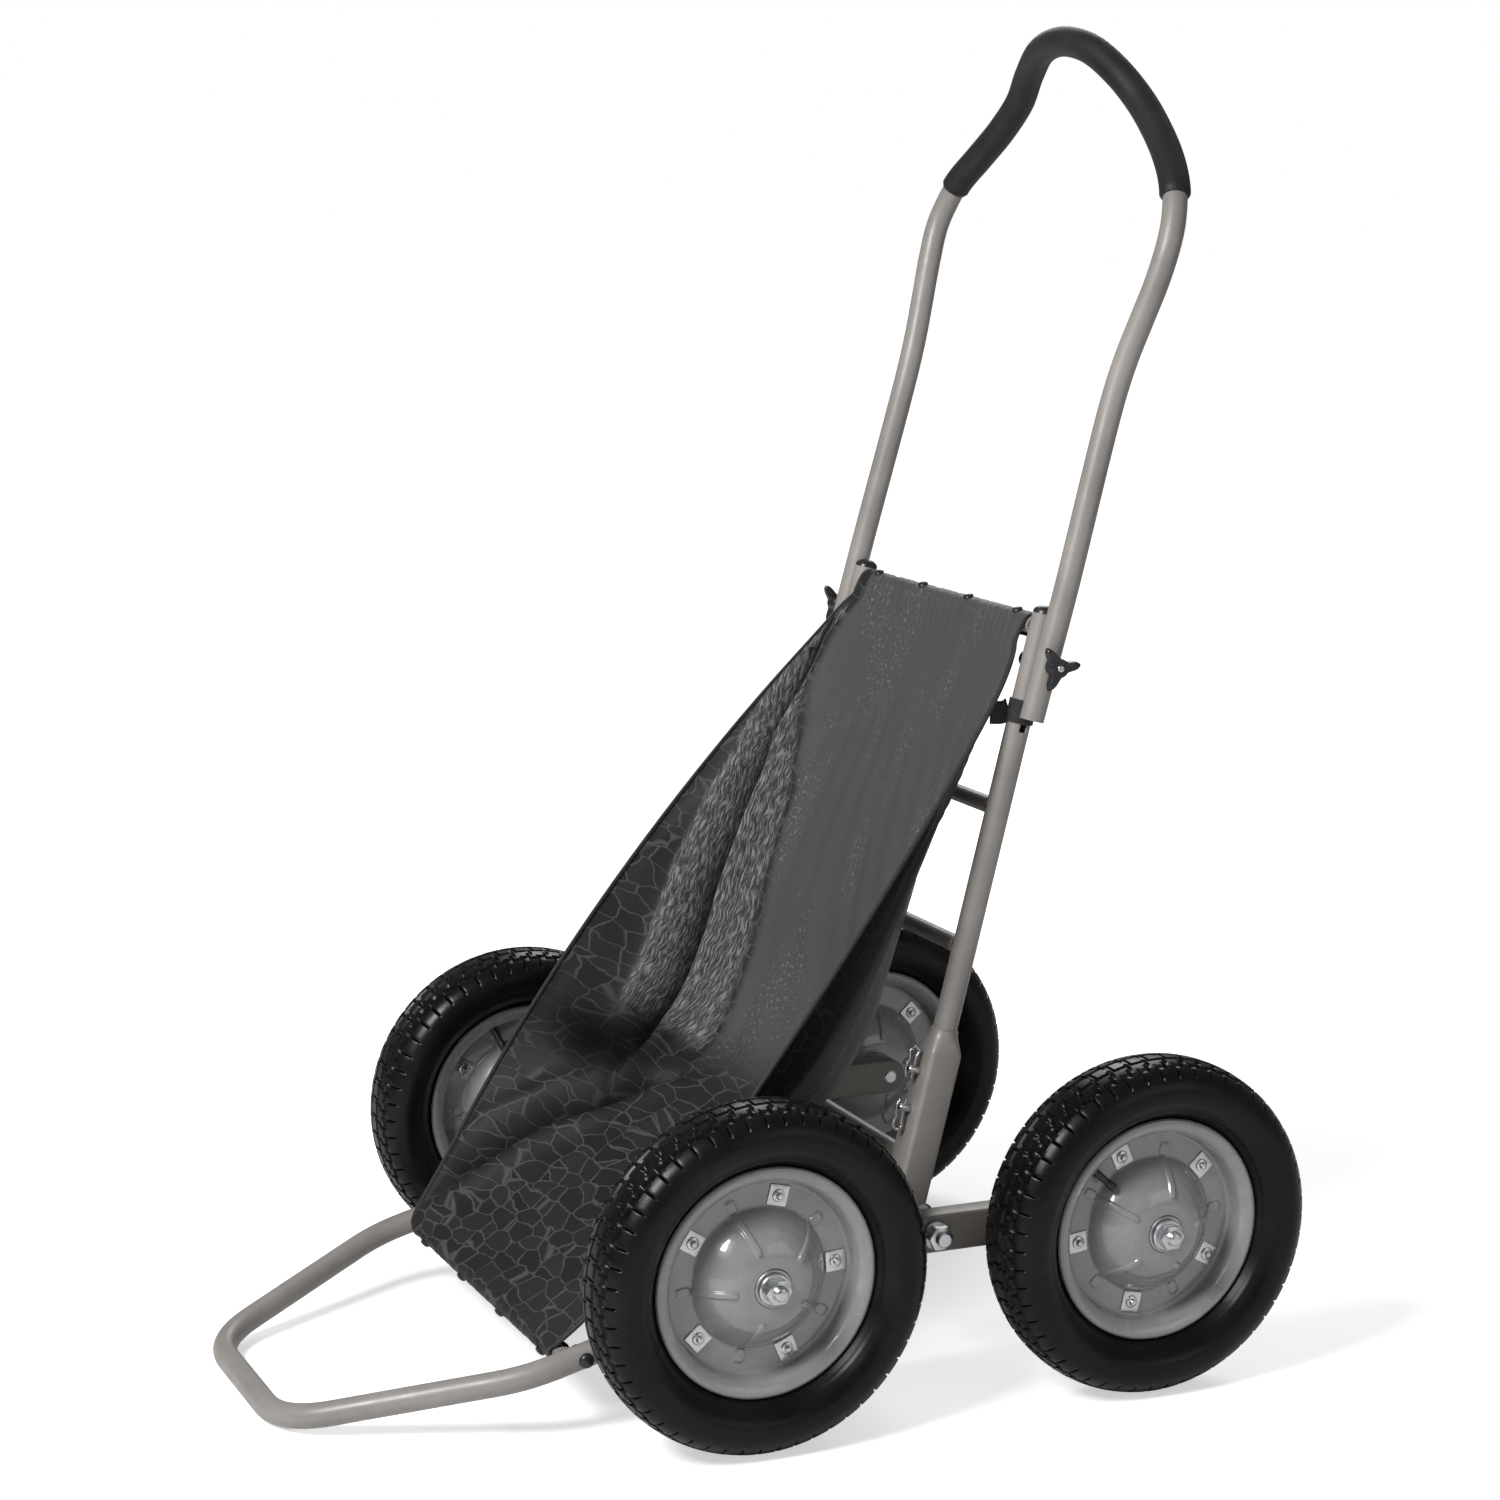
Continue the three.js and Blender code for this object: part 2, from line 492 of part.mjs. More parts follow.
function slingSheet() {
  const belly = new THREE.CatmullRomCurve3([
    topBar, new THREE.Vector3(0, 108, 690), new THREE.Vector3(0, 72, 575), new THREE.Vector3(0, 38, 455),
    new THREE.Vector3(0, 8, 350), new THREE.Vector3(0, -45, 272), new THREE.Vector3(0, -130, 235),
    new THREE.Vector3(0, -240, 178), hemBar,
  ], false, 'centripetal');
  const sheet = new THREE.BoxGeometry(2, SLING_THICKNESS, 1, 8, 1, 14);
  const position = sheet.attributes.position;
  for (let i = 0; i < position.count; i++) {
    const across = position.getX(i);
    const depth = position.getY(i);
    const down = THREE.MathUtils.clamp(0.5 - position.getZ(i), 0, 1);
    const hang = 1 - Math.abs(across) ** SLING_BELLY_POWER;
    const low = belly.getPointAt(down);
    const tangent = belly.getTangentAt(down);
    const edge = topBar.clone().lerp(hemBar, down);
    const flare = Math.sin(Math.PI * Math.max(0, (down - FLARE_START) / (1 - FLARE_START))) ** 0.6;
    const halfWidth = THREE.MathUtils.lerp(SLING_TOP_HALF, SLING_HEM_HALF, down) + SLING_FLARE * flare;
    position.setXYZ(i, across * halfWidth,
      THREE.MathUtils.lerp(edge.y, low.y, hang) - depth * tangent.z,
      THREE.MathUtils.lerp(edge.z, low.z, hang) + depth * tangent.y);
  }
  return sheet;
}

function hemSleeve(centre, barRadius, halfWidth) {
  return alongX(cylinder(barRadius + HEM_CLOTH, 2 * halfWidth, 14)).translate(-halfWidth, centre.y, centre.z);
}

function hemBore(centre, barRadius) {
  return crossHole(barRadius + CLEARANCE, 14).translate(0, centre.y, centre.z);
}

const sling = cut(
  join(slingSheet(), hemSleeve(topBar, TOP_BAR_RADIUS, SLING_TOP_HALF),
    hemSleeve(hemBar, HEM_BAR_RADIUS, SLING_HEM_HALF)),
  hemBore(topBar, TOP_BAR_RADIUS), hemBore(hemBar, HEM_BAR_RADIUS));
place(cart, 'sling', sling, MESH_FABRIC);

export default gameCart;
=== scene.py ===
# %% [markdown]
# # A four-wheel game cart
# The cart is a leaning ladder of steel tube on two rocking beams, with a mesh sling for the load and
# a handle that folds back. The CAD model fixes every size and place. These cells skin each of
# its nodes with a finer surface, in metres, in the same frame: +X is the cart's left, -Y is forward
# to the nose and +Z is up.

# %% The frame
import math

import bmesh
import bpy
import numpy as np
from mathutils import Matrix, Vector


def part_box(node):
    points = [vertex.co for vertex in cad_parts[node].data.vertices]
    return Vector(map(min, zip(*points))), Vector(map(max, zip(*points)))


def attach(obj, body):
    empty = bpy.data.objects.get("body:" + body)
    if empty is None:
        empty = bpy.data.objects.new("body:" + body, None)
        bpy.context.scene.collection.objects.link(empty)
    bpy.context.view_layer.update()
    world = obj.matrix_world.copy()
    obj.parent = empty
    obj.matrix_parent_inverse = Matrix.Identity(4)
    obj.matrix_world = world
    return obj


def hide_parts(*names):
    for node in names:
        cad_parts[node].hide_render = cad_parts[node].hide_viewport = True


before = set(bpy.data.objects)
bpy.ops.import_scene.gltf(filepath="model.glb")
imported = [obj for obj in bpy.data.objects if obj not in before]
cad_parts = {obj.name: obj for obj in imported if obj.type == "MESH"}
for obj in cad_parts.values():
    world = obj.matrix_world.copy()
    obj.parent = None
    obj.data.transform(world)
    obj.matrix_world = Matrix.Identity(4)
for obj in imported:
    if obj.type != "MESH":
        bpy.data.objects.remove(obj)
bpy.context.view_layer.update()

# %% [markdown]
# ## Driving places
# Positions come from the frame: the pivot rod, the hubs and the fold axis are read from their own
# nodes, so a later change of the CAD carries through. The few sizes below are those that a node's
# box can't give, such as tube walls and the lean of the uprights.

# %% Places and sizes


def middle(node):
    """The middle of a CAD node's box."""
    low, high = (np.array(corner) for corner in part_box(node))
    return (low + high) / 2


X, Y, Z = np.eye(3)
SIDES = {"right": -1, "left": 1}
ENDS = ("front", "rear")
PIVOT = middle("pivot_rod")
FOLD = middle("clamp_bolt_left") * [0, 1, 1]
LEAN = math.radians(13.33)
UP_LEAN = np.array([0, math.sin(LEAN), math.cos(LEAN)])
BACK_LEAN = np.array([0, math.cos(LEAN), -math.sin(LEAN)])
TUBE = 0.0127
TUBE_WALL = 0.0018
CLEARANCE = 0.0003
NOSE_REACH = 0.664
DROP = math.asin((PIVOT[2] - TUBE) / NOSE_REACH)
DOWN_BASE = np.array([0, -math.cos(DROP), -math.sin(DROP)])
OVER_BASE = np.array([0, -math.sin(DROP), math.cos(DROP)])
UPRIGHT_X = 0.2045
BASE_X = 0.2355
WHEEL = {(end, side): middle(f"hub_{end}_{side}") for end in ENDS for side in SIDES}


def on_lean(x, height, back=0.0):
    """A point x to the left of the centre plane, height up the uprights, and back behind their line."""
    return PIVOT + x * X + height * UP_LEAN + back * BACK_LEAN


def on_base(x, along, over=0.0):
    """A point in the plane of the base loop, along it from the pivot towards the nose."""
    return PIVOT + x * X + along * DOWN_BASE + over * OVER_BASE


print("pivot", PIVOT.round(4), "fold", FOLD.round(4), "wheel", WHEEL["front", "left"].round(4))

# %% [markdown]
# ## Camera, floor and light
# A product view: a long lens from the front left, a little below the height of the handle. The
# floor is a plain pale sheet that glows more with distance, so that it runs into the pale
# background. One large soft light stands high in front, a weaker one fills the shaded side, and a
# third behind the cart draws a bright edge on tubes and tyres.

# %% Camera
RIGHT = np.array([0.4152, 0.9095, 0.0180])
VIEW_UP = np.array([-0.1690, 0.0577, 0.9839])
BACKWARD = np.cross(RIGHT, VIEW_UP)
CAMERA_PLACE = np.array([3.071454, -1.502540, 1.247485]) + PIVOT[1] * Y


def turned(right, up, back, place):
    """A 4 by 4 matrix whose columns are three directions and a place."""
    matrix = np.eye(4)
    matrix[:3, 0], matrix[:3, 1], matrix[:3, 2], matrix[:3, 3] = right, up, back, place
    return Matrix(matrix.tolist())


camera = bpy.data.objects.new("camera", bpy.data.cameras.new("camera"))
bpy.context.scene.collection.objects.link(camera)
camera.matrix_world = turned(RIGHT, VIEW_UP, BACKWARD, CAMERA_PLACE)
camera.data.lens = 77.74
camera.data.sensor_width = 36
bpy.context.scene.camera = camera
bpy.context.scene.view_settings.view_transform = "Standard"
print("camera at", CAMERA_PLACE.round(3))

# %% Floor and light


def flat_colour(name, colour, roughness):
    """A plain material of one colour."""
    shade = bpy.data.materials.new(name)
    shade.use_nodes = True
    shader = shade.node_tree.nodes["Principled BSDF"]
    shader.inputs["Base Color"].default_value = (*colour, 1)
    shader.inputs["Roughness"].default_value = roughness
    return shade


floor_mesh = bpy.data.meshes.new("floor")
floor_mesh.from_pydata([(-30, -30, 0), (30, -30, 0), (30, 30, 0), (-30, 30, 0)], [], [(0, 1, 2, 3)])
floor_paint = flat_colour("floor", (0.9, 0.9, 0.9), 0.7)
floor_tree = floor_paint.node_tree
away = floor_tree.nodes.new("ShaderNodeVectorMath")
away.operation = "LENGTH"
floor_tree.links.new(floor_tree.nodes.new("ShaderNodeTexCoord").outputs["Object"], away.inputs[0])
lift = floor_tree.nodes.new("ShaderNodeMapRange")
for index, value in enumerate((1.0, 3.5, 0.55, 1.0), start=1):
    lift.inputs[index].default_value = value
floor_tree.links.new(away.outputs["Value"], lift.inputs[0])
seen_only = floor_tree.nodes.new("ShaderNodeMath")
seen_only.operation = "MULTIPLY"
floor_tree.links.new(lift.outputs[0], seen_only.inputs[1])
floor_ray = floor_tree.nodes.new("ShaderNodeLightPath")
floor_tree.links.new(floor_ray.outputs["Is Camera Ray"], seen_only.inputs[0])
floor_shader = floor_tree.nodes["Principled BSDF"]
floor_shader.inputs["Emission Color"].default_value = (1, 1, 1, 1)
floor_tree.links.new(seen_only.outputs[0], floor_shader.inputs["Emission Strength"])
floor_mesh.materials.append(floor_paint)
floor = bpy.data.objects.new("floor", floor_mesh)
bpy.context.scene.collection.objects.link(floor)


def softbox(name, place, aim, size, watts):
    """A square area light at place that faces aim."""
    lamp = bpy.data.lights.new(name, "AREA")
    lamp.size, lamp.energy = size, watts
    back = np.array(place, float) - aim
    back /= np.linalg.norm(back)
    right = np.cross(Z, back)
    right /= np.linalg.norm(right)
    light = bpy.data.objects.new(name, lamp)
    bpy.context.scene.collection.objects.link(light)
    light.matrix_world = turned(right, np.cross(back, right), back, place)


HEART = np.array([0, 0, 0.6])
softbox("key", (1.3, -2.6, 2.8), HEART, 1.1, 150)
softbox("fill", (3.2, 1.8, 1.4), HEART, 1.8, 9)
softbox("edge", (-2.6, 1.6, 2.6), HEART, 1.6, 45)

world = bpy.data.worlds.new("studio")
world.use_nodes = True
bpy.context.scene.world = world
sky = world.node_tree
seen = sky.nodes.new("ShaderNodeBackground")
seen.inputs["Color"].default_value = (1, 1, 1, 1)
glow = sky.nodes["Background"]
glow.inputs["Color"].default_value = (0.96, 0.98, 1, 1)
glow.inputs["Strength"].default_value = 0.2
choose = sky.nodes.new("ShaderNodeMixShader")
sky.links.new(sky.nodes.new("ShaderNodeLightPath").outputs["Is Camera Ray"], choose.inputs[0])
sky.links.new(glow.outputs[0], choose.inputs[1])
sky.links.new(seen.outputs[0], choose.inputs[2])
sky.links.new(choose.outputs[0], sky.nodes["World Output"].inputs["Surface"])

# %% [markdown]
# ## Surfaces
# Every piece is a grid of points with quads between them. A turned piece is a profile spun about an
# axis, a bent tube is a section carried along a path, and a straight bar or nut is a section stacked
# along an axis. Working in whole arrays keeps each shape a short formula.

# %% Grids and sections


def unit(vectors):
    """Each vector divided by its own length."""
    return vectors / np.linalg.norm(vectors, axis=-1, keepdims=True)


def skin(points, ring_u=False, ring_v=False):
    """Quads between neighbours of a grid of points; a ring joins its last row or column to the first."""
    rows, cols = points.shape[:2]
    i, j = np.meshgrid(np.arange(rows - 1 + ring_u), np.arange(cols - 1 + ring_v), indexing="ij")
    i2, j2 = (i + 1) % rows, (j + 1) % cols
    quads = np.stack([i * cols + j, i * cols + j2, i2 * cols + j2, i2 * cols + j], -1)
    return points.reshape(-1, 3), quads.reshape(-1, 4)


def grid_uv(points, ring_u=False, ring_v=False):
    """For each quad corner of that skin, its share of the way along rows and columns, from 0 to 1."""
    rows, cols = points.shape[0] - 1 + ring_u, points.shape[1] - 1 + ring_v
    i, j = np.meshgrid(np.arange(rows), np.arange(cols), indexing="ij")
    u = np.stack([i, i, i + 1, i + 1], -1) / rows
    v = np.stack([j, j + 1, j + 1, j], -1) / cols
    return np.stack([u, v], -1).reshape(-1, 2)


def together(*surfaces):
    """Several surfaces as one list of points and one of faces."""
    starts = np.cumsum([0] + [len(points) for points, _ in surfaces[:-1]])
    faces = [quads + start for (_, quads), start in zip(surfaces, starts)]
    return np.concatenate([points for points, _ in surfaces]), np.concatenate(faces)


def circle(radius, sides=32):
    """A round section, (radius cos a, radius sin a)."""
    angle = np.linspace(0, 2 * np.pi, sides, endpoint=False)
    return radius * np.stack([np.cos(angle), np.sin(angle)], -1)


def rounded_square(half, corner, per_corner=7):
    """A square section: each corner's arc is centred half minus corner out along both axes."""
    angle = np.linspace(0, np.pi / 2, per_corner)[None] + np.arange(4)[:, None] * np.pi / 2
    centre = unit(np.stack([np.cos(angle.mean(1)), np.sin(angle.mean(1))], -1)) * math.sqrt(2)
    half, corner = np.broadcast_arrays(np.asarray(half, float), np.asarray(corner, float))
    arcs = np.stack([np.cos(angle), np.sin(angle)], -1)
    return ((half - corner)[..., None, None, None] * centre[:, None]
            + corner[..., None, None, None] * arcs).reshape(*half.shape, -1, 2)


def smooth_route(points, per_span=12):
    """A centripetal Catmull-Rom curve.

    Each span is a cubic, and its end slopes weigh the neighbours by the root of their distance.
    """
    points = np.asarray(points, float)
    points = np.vstack([2 * points[0] - points[1], points, 2 * points[-1] - points[-2]])
    gap = np.linalg.norm(np.diff(points, axis=0), axis=1)[:, None] ** 0.5
    p0, p1, p2, p3 = points[:-3], points[1:-2], points[2:-1], points[3:]
    d0, d1, d2 = gap[:-2], gap[1:-1], gap[2:]
    m1 = ((p1 - p0) / d0 - (p2 - p0) / (d0 + d1) + (p2 - p1) / d1) * d1
    m2 = ((p2 - p1) / d1 - (p3 - p1) / (d1 + d2) + (p3 - p2) / d2) * d1
    t = np.linspace(0, 1, per_span, endpoint=False)[None, :, None]
    p1, p2, m1, m2 = (a[:, None] for a in (p1, p2, m1, m2))
    curve = ((2 * t**3 - 3 * t**2 + 1) * p1 + (t**3 - 2 * t**2 + t) * m1
             + (3 * t**2 - 2 * t**3) * p2 + (t**3 - t**2) * m2)
    return np.vstack([curve.reshape(-1, points.shape[1]), points[-2]])


def spaced(route, count):
    """count points at equal distances along a route."""
    along = np.concatenate([[0], np.cumsum(np.linalg.norm(np.diff(route, axis=0), axis=1))])
    at = np.linspace(0, along[-1], count)
    return np.stack([np.interp(at, along, route[:, k]) for k in range(route.shape[1])], -1)


print("rounded square of", rounded_square(0.018, 0.004).shape[0], "points")

# %% Turned, carried and stacked surfaces


def swept(route, sections, up):
    """Each (across, over) section stands square to its point of the route; over leans towards up."""
    tangent = unit(np.gradient(route, axis=0))
    over = unit(up - (tangent @ up)[:, None] * tangent)
    across = np.cross(tangent, over)
    sections = np.broadcast_to(sections, (len(route), *sections.shape[-2:]))
    return route[:, None] + sections[..., :1] * across[:, None] + sections[..., 1:] * over[:, None]


def capped(grid):
    """The grid with a row at each end shrunk to its centre, so that its skin is closed."""
    ends = [np.broadcast_to(row.mean(0), row.shape)[None] for row in (grid[0], grid[-1])]
    return np.concatenate([ends[0], grid, ends[1]])


def bar(route, radius, up, sides=32):
    """A solid round bar along a route, flat at both ends."""
    return skin(capped(swept(route, circle(radius, sides), up)), ring_v=True)


def tube(route, radius, wall, up, sides=32):
    """A round tube along a route: its outer skin, then its bore back the other way."""
    outer = swept(route, circle(radius, sides), up)
    inner = swept(route, circle(radius - wall, sides), up)
    return skin(np.concatenate([outer, inner[::-1]]), ring_u=True, ring_v=True)


def turned_piece(profile, origin, axis, sides=48, hollow=False):
    """(radius, height) points spun about axis.

    A hollow profile closes on itself, and a solid one starts and ends on the axis.
    """
    profile = np.asarray(profile, float)
    axis = unit(np.asarray(axis, float))
    side = unit(np.cross(axis, X + Y / 3 if abs(axis[0]) < 0.9 else Z))
    angle = np.linspace(0, 2 * np.pi, sides, endpoint=False)[:, None]
    spoke = np.cos(angle) * side + np.sin(angle) * np.cross(axis, side)
    points = origin + profile[None, :, :1] * spoke[:, None] + profile[None, :, 1:] * axis
    return skin(points, ring_u=True, ring_v=hollow)


def stacked(section, levels, origin, axis, up):
    """A section carried straight along axis; each level is its height and the section's scale there."""
    levels = np.asarray(levels, float)
    over = unit(up - (axis @ up) * axis)
    flat = section[:, :1] * np.cross(axis, over) + section[:, 1:] * over
    return skin(origin + levels[:, :1, None] * axis + levels[:, 1:, None] * flat, ring_v=True)


def rounded_levels(height, edge, size):
    """Levels of a bar with rounded rims: a quarter arc of radius edge at each end of its height."""
    arc = np.linspace(0, np.pi / 2, 4)
    rim = 1 - edge * (1 - np.sin(arc)) / size
    low = np.stack([edge * (1 - np.cos(arc)), rim], -1)
    high = np.stack([height - low[::-1, 0], low[::-1, 1]], -1)
    return np.vstack([[0, 0], low, high, [height, 0]])


sample_points, sample_faces = bar(np.array([0 * X, X]), TUBE, Z)
print("a straight bar:", len(sample_points), "points and", len(sample_faces), "faces")

# %% [markdown]
# ## Making a piece
# A surface becomes a piece in one call: the seams and poles are welded, the faces are turned
# outwards, and hard corners stay sharp by angle. The same call names the body that it rides on, the
# finish that it takes and the CAD nodes that it stands for.

# %% Piece maker
made = {}


def piece(name, surface, body, finish, nodes=(), sharp=35, uv=None):
    """A mesh object at the origin from points and faces, welded unless it carries its own UV map."""
    points, faces = surface
    mesh = bpy.data.meshes.new(name)
    mesh.from_pydata(points.tolist(), [], faces.tolist())
    if uv is not None:
        mesh.uv_layers.new(name="surface").data.foreach_set("uv", uv.astype(np.float32).ravel())
    shape = bmesh.new()
    shape.from_mesh(mesh)
    if uv is None:
        bmesh.ops.remove_doubles(shape, verts=shape.verts, dist=1e-6)
    bmesh.ops.recalc_face_normals(shape, faces=shape.faces)
    shape.to_mesh(mesh)
    shape.free()
    mesh.shade_smooth()
    mesh.set_sharp_from_angle(angle=math.radians(sharp))
    mesh.materials.append(FINISHES[finish])
    obj = bpy.data.objects.new(name, mesh)
    bpy.context.scene.collection.objects.link(obj)
    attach(obj, body)
    if nodes:
        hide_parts(*nodes)
    made[name] = len(faces)
    return obj


# %% [markdown]
# ## Finishes
# Each finish is a small node tree on object coordinates. What varies over the surface, such as
# speckle, dust and orange peel, comes from noise; what doesn't is set on the shader's own socket.

# %% Node helpers


def add(tree, kind, inputs=None, **settings):
    """A node of that kind; an input is a plain value, or a socket that is linked to it."""
    node = tree.nodes.new("ShaderNode" + kind)
    for key, value in settings.items():
        setattr(node, key, value)
    for key, value in (inputs or {}).items():
        if isinstance(value, bpy.types.NodeSocket):
            tree.links.new(value, node.inputs[key])
        else:
            node.inputs[key].default_value = value
    return node


def ramp(tree, value, *stops):
    """Maps a number to a colour through (place, brightness or colour) stops."""
    node = add(tree, "ValToRGB", {"Fac": value})
    while len(node.color_ramp.elements) < len(stops):
        node.color_ramp.elements.new(0.5)
    for element, (place, colour) in zip(node.color_ramp.elements, stops):
        element.position = place
        element.color = (*colour, 1) if hasattr(colour, "__len__") else (colour, colour, colour, 1)
    return node.outputs["Color"]


def noise(tree, where, scale, detail=3, roughness=0.5):
    """A cloudy number from 0 to 1; a larger scale makes finer clouds."""
    settings = {"Vector": where, "Scale": scale, "Detail": detail, "Roughness": roughness}
    return add(tree, "TexNoise", settings).outputs["Fac"]


def stretched(tree, where, *scale):
    """The same places, scaled by a number along each axis."""
    return add(tree, "Mapping", {"Vector": where, "Scale": scale}).outputs[0]


def nudged(tree, where, field, *reach):
    """Places moved by a colour field, as far along each axis as reach says."""
    move = add(tree, "VectorMath", {0: field, 1: reach}, operation="MULTIPLY").outputs[0]
    return add(tree, "VectorMath", {0: where, 1: move}, operation="ADD").outputs[0]


def mixed(tree, share, first, second):
    """Two colours mixed by a share from 0 to 1."""
    node = add(tree, "Mix", data_type="RGBA")
    for index, value in ((0, share), (6, first), (7, second)):
        if isinstance(value, bpy.types.NodeSocket):
            tree.links.new(value, node.inputs[index])
        elif index:
            node.inputs[index].default_value = (*value, 1)
        else:
            node.inputs[index].default_value = value
    return node.outputs[2]


def maths(tree, operation, first, second):
    """One sum on two numbers."""
    return add(tree, "Math", {0: first, 1: second}, operation=operation).outputs[0]


def product(tree, first, second):
    """Two numbers multiplied."""
    return maths(tree, "MULTIPLY", first, second)


def bump(tree, height, distance, strength):
    """A normal leaned by the slope of a height, which stands for distance metres at 1."""
    settings = {"Height": height, "Distance": distance, "Strength": strength}
    return add(tree, "Bump", settings).outputs["Normal"]


def socket_name(key):
    """base_color becomes Base Color, as the shader's sockets are written."""
    return key.replace("_", " ").title().replace("Ior", "IOR")


def shell(name, metallic=0.0, **constants):
    """An empty material: its tree, its shader, and the place on the object."""
    shade = bpy.data.materials.new(name)
    shade.use_nodes = True
    tree = shade.node_tree
    shader = tree.nodes["Principled BSDF"]
    shader.inputs["Metallic"].default_value = metallic
    for key, value in constants.items():
        shader.inputs[socket_name(key)].default_value = value
    where = add(tree, "TexCoord").outputs["Object"]
    return shade, tree, shader, where


def wire(tree, shader, **sockets):
    """Links what varies over the surface to the shader's sockets."""
    for key, socket in sockets.items():
        tree.links.new(socket, shader.inputs[socket_name(key)])


print("for example, specular_ior_level sets", socket_name("specular_ior_level"))

# %% Paints


def powder_coat(name, colour):
    """Satin powder coat: a fine orange peel, a faint cloudiness, and pale dust in soft patches."""
    shade, tree, shader, where = shell(name, coat_weight=0.12, coat_roughness=0.3)
    cloud = noise(tree, where, 9, 5, 0.6)
    speckle = noise(tree, where, 900, 2)
    light, dark = [c * 1.16 for c in colour], [c * 0.84 for c in colour]
    tint = mixed(tree, ramp(tree, cloud, (0.35, 0), (0.68, 1)), dark, light)
    tint = mixed(tree, ramp(tree, speckle, (0.55, 0), (0.75, 0.35)), tint, [c * 1.5 for c in colour])
    rough = ramp(tree, noise(tree, where, 45, 4), (0.3, 0.36), (0.7, 0.5))
    wire(tree, shader, base_color=tint, roughness=rough, normal=bump(tree, speckle, 0.00012, 0.5))
    return shade


def enamel(name, colour):
    """Glossy stove enamel: deep and even, with slight flow marks and a little dust."""
    shade, tree, shader, where = shell(name, coat_weight=0.9, coat_roughness=0.06)
    dust = noise(tree, where, 60, 6, 0.7)
    tint = mixed(tree, ramp(tree, dust, (0.45, 0), (0.8, 0.5)), colour, [c * 1.35 for c in colour])
    rough = ramp(tree, noise(tree, where, 20, 4), (0.3, 0.2), (0.75, 0.34))
    flow = noise(tree, where, 55, 2)
    wire(tree, shader, base_color=tint, roughness=rough, normal=bump(tree, flow, 0.0004, 0.35))
    return shade


# %% Metals


def plated(name, colour, coarse, fine=0.2):
    """Bare or plated metal: drawn marks, blotches of passivation and pitted roughness."""
    shade, tree, shader, where = shell(name, metallic=1.0)
    blotch = noise(tree, where, 70, 4, 0.6)
    marks = noise(tree, stretched(tree, where, 1, 9, 9), 240, 3)
    tint = mixed(tree, ramp(tree, blotch, (0.3, 0), (0.7, 1)), [c * 0.8 for c in colour],
                 [min(1, c * 1.14) for c in colour])
    rough = ramp(tree, blotch, (0.3, fine), (0.75, coarse))
    wire(tree, shader, base_color=tint, roughness=rough, normal=bump(tree, marks, 0.00008, 0.4))
    return shade


# %% Rubber, foam and plastic


def rubber(name):
    """Tyre rubber: near black, duller and greyer in patches of bloom, with a fine mould grain."""
    shade, tree, shader, where = shell(name, specular_ior_level=0.2)
    bloom = noise(tree, where, 14, 6, 0.62)
    grain = noise(tree, where, 700, 3, 0.6)
    bloomed = ramp(tree, bloom, (0.4, 0), (0.72, 1))
    tint = mixed(tree, bloomed, (0.003, 0.003, 0.0031), (0.007, 0.007, 0.007))
    rough = ramp(tree, noise(tree, where, 30, 5), (0.3, 0.26), (0.7, 0.36))
    wire(tree, shader, base_color=tint, roughness=rough, normal=bump(tree, grain, 0.00018, 0.5))
    return shade


def foam(name):
    """Closed-cell foam: matt black with a fine open pore and a soft sheen."""
    shade, tree, shader, where = shell(name, sheen_weight=0.04, sheen_roughness=0.5, specular_ior_level=0.3)
    pores = add(tree, "TexVoronoi", {"Vector": where, "Scale": 900}).outputs["Distance"]
    tint = mixed(tree, ramp(tree, noise(tree, where, 25, 5), (0.3, 0), (0.7, 1)), (0.008, 0.008, 0.009),
                 (0.018, 0.018, 0.019))
    rough = ramp(tree, pores, (0.0, 0.72), (0.6, 0.5))
    wire(tree, shader, base_color=tint, roughness=rough, normal=bump(tree, pores, 0.0003, 0.6))
    return shade


def moulded(name):
    """Moulded nylon: black, lightly textured, with polished spots where it is handled."""
    shade, tree, shader, where = shell(name)
    texture = noise(tree, where, 520, 3)
    tint = mixed(tree, ramp(tree, noise(tree, where, 35, 3), (0.35, 0), (0.7, 1)), (0.009, 0.009, 0.010),
                 (0.022, 0.022, 0.024))
    rough = ramp(tree, noise(tree, where, 28, 4), (0.3, 0.25), (0.7, 0.42))
    wire(tree, shader, base_color=tint, roughness=rough, normal=bump(tree, texture, 0.00012, 0.4))
    return shade


def webbing(name):
    """Black webbing: fine crossing ribs, a matt face and a worn, paler crown on each rib."""
    shade, tree, shader, where = shell(name, sheen_weight=0.35, sheen_roughness=0.4)
    ribs = add(tree, "TexWave", {"Vector": where, "Scale": 260, "Distortion": 1.5, "Detail": 1},
               bands_direction="Z").outputs["Fac"]
    tint = mixed(tree, ribs, (0.006, 0.006, 0.007), (0.022, 0.022, 0.024))
    rough = ramp(tree, noise(tree, where, 60, 3), (0.3, 0.7), (0.7, 0.9))
    wire(tree, shader, base_color=tint, roughness=rough, normal=bump(tree, ribs, 0.0003, 0.7))
    return shade
